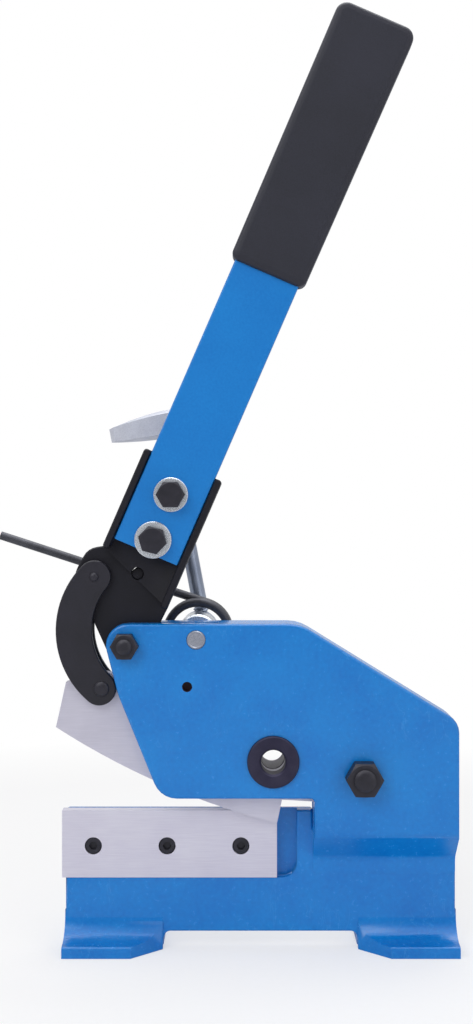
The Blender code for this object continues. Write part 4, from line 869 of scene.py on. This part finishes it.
for side in (-1, 1):
    pick(lambda co, normal: normal.y * side > 0.5)
    bpy.ops.mesh.region_to_loop()
    bpy.ops.mesh.bevel(offset=3.1 * MM, segments=6, profile=0.5, affect="EDGES")
end(grip)
clear_selection()
bpy.ops.mesh.primitive_cube_add(size=1, location=(BAR_OFFSET * MM, (bar_near + bar_far) / 2 * MM,
                                                  (BAR_FOOT + 174.15) * MM), scale=(0.0456, 0.0088, 0.3889))
room = bpy.context.object
bpy.ops.object.transform_apply(location=True, rotation=True, scale=True)
cut_with(grip, room)
soften(grip, 0.0)
settle(grip, lever_foot, LEAN)
hand_over(grip, "lever", "vinyl_grip", "vinyl", "handle_grip")

# %% [markdown]
# ## Link pins and the spring's peg
#
# The links are riveted to their pins: a pin's end is domed and stands just proud of
# the near plate. The peg is a plain dowel of the lever that pushes the spring's leg.

# %% Turn the pins and the peg
def domed_pin(name, radius, near, far, dome):
    turns = [math.radians(a) for a in (80, 60, 40, 20, 0)]
    rows = [(radius * math.cos(a), dome * (1 - math.sin(a))) for a in turns]
    ends = [(wide, far - near - high) for wide, high in reversed(rows)]
    return soften(lathe(name, rows + ends, 48), 0)


LOW_PIN, PEG = (-104.3, 174.9), (-80.98, 250.15)
for node, centre, radius, body in (("link_top_pin", LINK_TOP, 3.0, "links"),
                                   ("link_low_pin", LOW_PIN, 5.0, "blade")):
    near, far = depth_of(node)
    pin = domed_pin(node + "_turned", radius, near, far, 1.6)
    hand_over(lay_along_y(pin, centre[0], near, centre[1]), body, "black_oxide", "black_oxide", node)
near, far = depth_of("spring_peg")
peg = soften(lathe("spring_peg_turned", [(3.3, 0), (3.85, 0.6), (3.85, far - near - 1.0),
                                         (3.0, far - near)], 48), 0)
hand_over(lay_along_y(peg, PEG[0], near, PEG[1]), "lever", "black_oxide", "black_casting", "spring_peg")

# %% [markdown]
# ## The torsion spring
#
# The spring is one wire: a tang in the far cheek, two and a half turns round the
# sleeve, and a long straight leg. Its path is drawn as points on a helix, a round
# section is swept along it, and the ends are closed. It is not tied to a body, so it
# keeps this shape when the lever moves.

# %% Sweep the wire
WIRE_R, COIL_R, COIL_TURNS, COIL_PITCH, LEG_L = 2.9, 21.5, 2.5, 6.4, 150.8
COIL_NEAR, LEG_TURN, TANG_BEND, TANG_Y = 17.4, 162.0, 5.0, 4.0
COIL_FAR = COIL_NEAR + COIL_TURNS * COIL_PITCH


def heading(degrees):
    return Vector((math.cos(math.radians(degrees)), math.sin(math.radians(degrees))))


last_turn = LEG_TURN - 90
first_turn = last_turn - COIL_TURNS * 360
along = heading(first_turn + 90)
coil_middle = Vector(HOLD_PIVOT)
tang = coil_middle + COIL_R * heading(first_turn) - TANG_BEND * along
route = [(tang.x, TANG_Y, tang.y)]
for i in range(11):
    bend = math.radians(9 * i)
    flat = tang + along * TANG_BEND * (1 - math.cos(bend))
    route.append((flat.x, COIL_NEAR - TANG_BEND * (1 - math.sin(bend)), flat.y))
steps = 120
for i in range(1, steps + 1):
    flat = coil_middle + COIL_R * heading(first_turn + COIL_TURNS * 360 * i / steps)
    route.append((flat.x, COIL_NEAR + COIL_TURNS * COIL_PITCH * i / steps, flat.y))
foot = coil_middle + COIL_R * heading(last_turn)
for i in range(1, 13):
    flat = foot + heading(LEG_TURN) * LEG_L * i / 12
    route.append((flat.x, COIL_FAR, flat.y))
path = bpy.data.curves.new("spring_path", "CURVE")
path.dimensions = "3D"
path.bevel_depth = WIRE_R * MM
path.bevel_resolution = 8
path.use_fill_caps = True
line = path.splines.new("POLY")
line.points.add(len(route) - 1)
for point, place in zip(line.points, route):
    point.co = (*at(*place), 1)
spring = bpy.data.objects.new("torsion_spring_wound", path)
bpy.context.scene.collection.objects.link(spring)
select_only(spring)
bpy.ops.object.convert(target="MESH")
spring = bpy.context.object
bpy.ops.object.mode_set(mode="EDIT")
end(spring)
select_only(spring)
bpy.ops.object.shade_smooth_by_angle(angle=math.radians(50))
print("turns:", COIL_TURNS, "wire points:", len(route))
spring.data.materials.clear()
spring.data.materials.append(finish["spring_wire"])
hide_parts("torsion_spring")
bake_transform(spring)

# %% [markdown]
# ## The hold-down
#
# The clamp's spindle leans a little and passes through the swivel behind the frame.
# It is modelled upright at zero and leaned as a whole. Above the swivel it is plain
# bright bar; below, it carries a real thread, wound with the Screw modifier.

# %% Make the spindle and its thread
HOLD_LEAN = math.radians(-10.7)
hold_place = at(HOLD_PIVOT[0], 0, HOLD_PIVOT[1])
hold_place += Vector((3.7 * math.cos(HOLD_LEAN), 51.5, -3.7 * math.sin(HOLD_LEAN))) * MM
SCREW_R, SCREW_LOW, SCREW_HIGH, THREAD_TOP, PITCH = 5.25, -91.0, 149.0, 20.0, 3.0
spindle = lathe("hold_down_spindle", [
    (3.4, SCREW_LOW), (3.4, SCREW_LOW + 5.5), (4.1, SCREW_LOW + 6.2), (4.1, THREAD_TOP),
    (SCREW_R, THREAD_TOP + 0.8), (SCREW_R, SCREW_HIGH)], 64)
soften(spindle, 0)
turns = int((THREAD_TOP + 0.5 - (SCREW_LOW + 7.0)) / PITCH)
clear_selection()
bpy.ops.mesh.primitive_plane_add(size=MM, location=(0, 0, 0))
thread = begin("hold_down_thread")
shape = bmesh.from_edit_mesh(thread.data)
corners = ((3.9, 0.05), (SCREW_R, 1.05), (SCREW_R, 1.75), (3.9, PITCH - 0.05))
for vert, (wide, high) in zip(next(iter(shape.faces)).verts, corners):
    vert.co = Vector((wide, 0, SCREW_LOW + 7.0 + high)) * MM
bmesh.update_edit_mesh(thread.data)
bpy.ops.object.mode_set(mode="OBJECT")
use_modifier(thread, "SCREW", axis="Z", angle=math.tau, screw_offset=PITCH * MM, iterations=turns, steps=36,
             render_steps=36)
select_only(thread)
bpy.ops.object.mode_set(mode="EDIT")
end(thread)
soften(thread, 0)
select_only(thread, spindle)
bpy.ops.object.join()
settle(spindle, hold_place, HOLD_LEAN)
hand_over(spindle, "screw", "bare_steel", "drawn_steel", "hold_down_screw")

# %% [markdown]
# ### Wing and foot
#
# The wing is a small casting: an oval bar whose top rises to a low ridge and whose
# underside is a keel. It starts as a subdivided box that is pulled narrow at its
# ends and bevelled. The foot is a turned pad that the spindle's ball end turns in.

# %% Make the wing and the foot
WING_LOW, WING_TALL, WING_HALF, WING_WIDE, WING_END = 141.3, 9.5, 40.0, 13.0, 7.0
clear_selection()
bpy.ops.mesh.primitive_cube_add(size=1, location=(0, 0, (WING_LOW + WING_TALL / 2) * MM),
                                scale=(2 * WING_HALF * MM, 2 * WING_WIDE * MM, WING_TALL * MM))
bpy.ops.object.transform_apply(location=True, rotation=True, scale=True)
wing = begin("hold_down_wing_cast")
bpy.ops.mesh.select_all(action="SELECT")
bpy.ops.mesh.subdivide(number_cuts=23)
shape = bmesh.from_edit_mesh(wing.data)
for vert in shape.verts:
    x, y, z = vert.co / MM
    far_out = min(abs(x) / WING_HALF, 1)
    bow = WING_WIDE - (WING_WIDE - WING_END) * far_out**2
    room = WING_HALF - abs(x)
    if room < WING_END:
        bow = min(bow, math.sqrt(max(WING_END**2 - (WING_END - room)**2, 0.01)))
    aside = y / WING_WIDE
    share = (z - WING_LOW) / WING_TALL
    crown = 6.0 * (1 - far_out**1.6) * (1 - 0.55 * aside**2)
    keel = 4.2 * (1 - far_out**1.6) * (1 - 0.6 * aside**2)
    lift = crown * share if share > 0.5 else 0
    drop = keel * (0.5 - share) * 2 if share < 0.5 else 0
    vert.co = Vector((x, aside * bow, z + lift - drop)) * MM
bmesh.update_edit_mesh(wing.data)
end(wing)
soften(wing, 0.9, 3, 50)
settle(wing, hold_place, HOLD_LEAN)
hand_over(wing, "screw", "cast_grey", "die_cast", "hold_down_wing")
foot_pad = lathe("hold_down_foot_turned", [
    (9.7, 0.0), (11.0, 1.3), (11.0, 7.0), (9.6, 8.4), (8.0, 11.0), (5.55, 11.0), (5.55, 5.8),
    (0.5, 5.8)], 64)
foot_pad.data.transform(Matrix.Translation((0, 0, -96.8 * MM)))
soften(foot_pad, 0)
settle(foot_pad, hold_place, HOLD_LEAN)
hand_over(foot_pad, "foot", "bare_steel", "drawn_steel", "hold_down_foot")
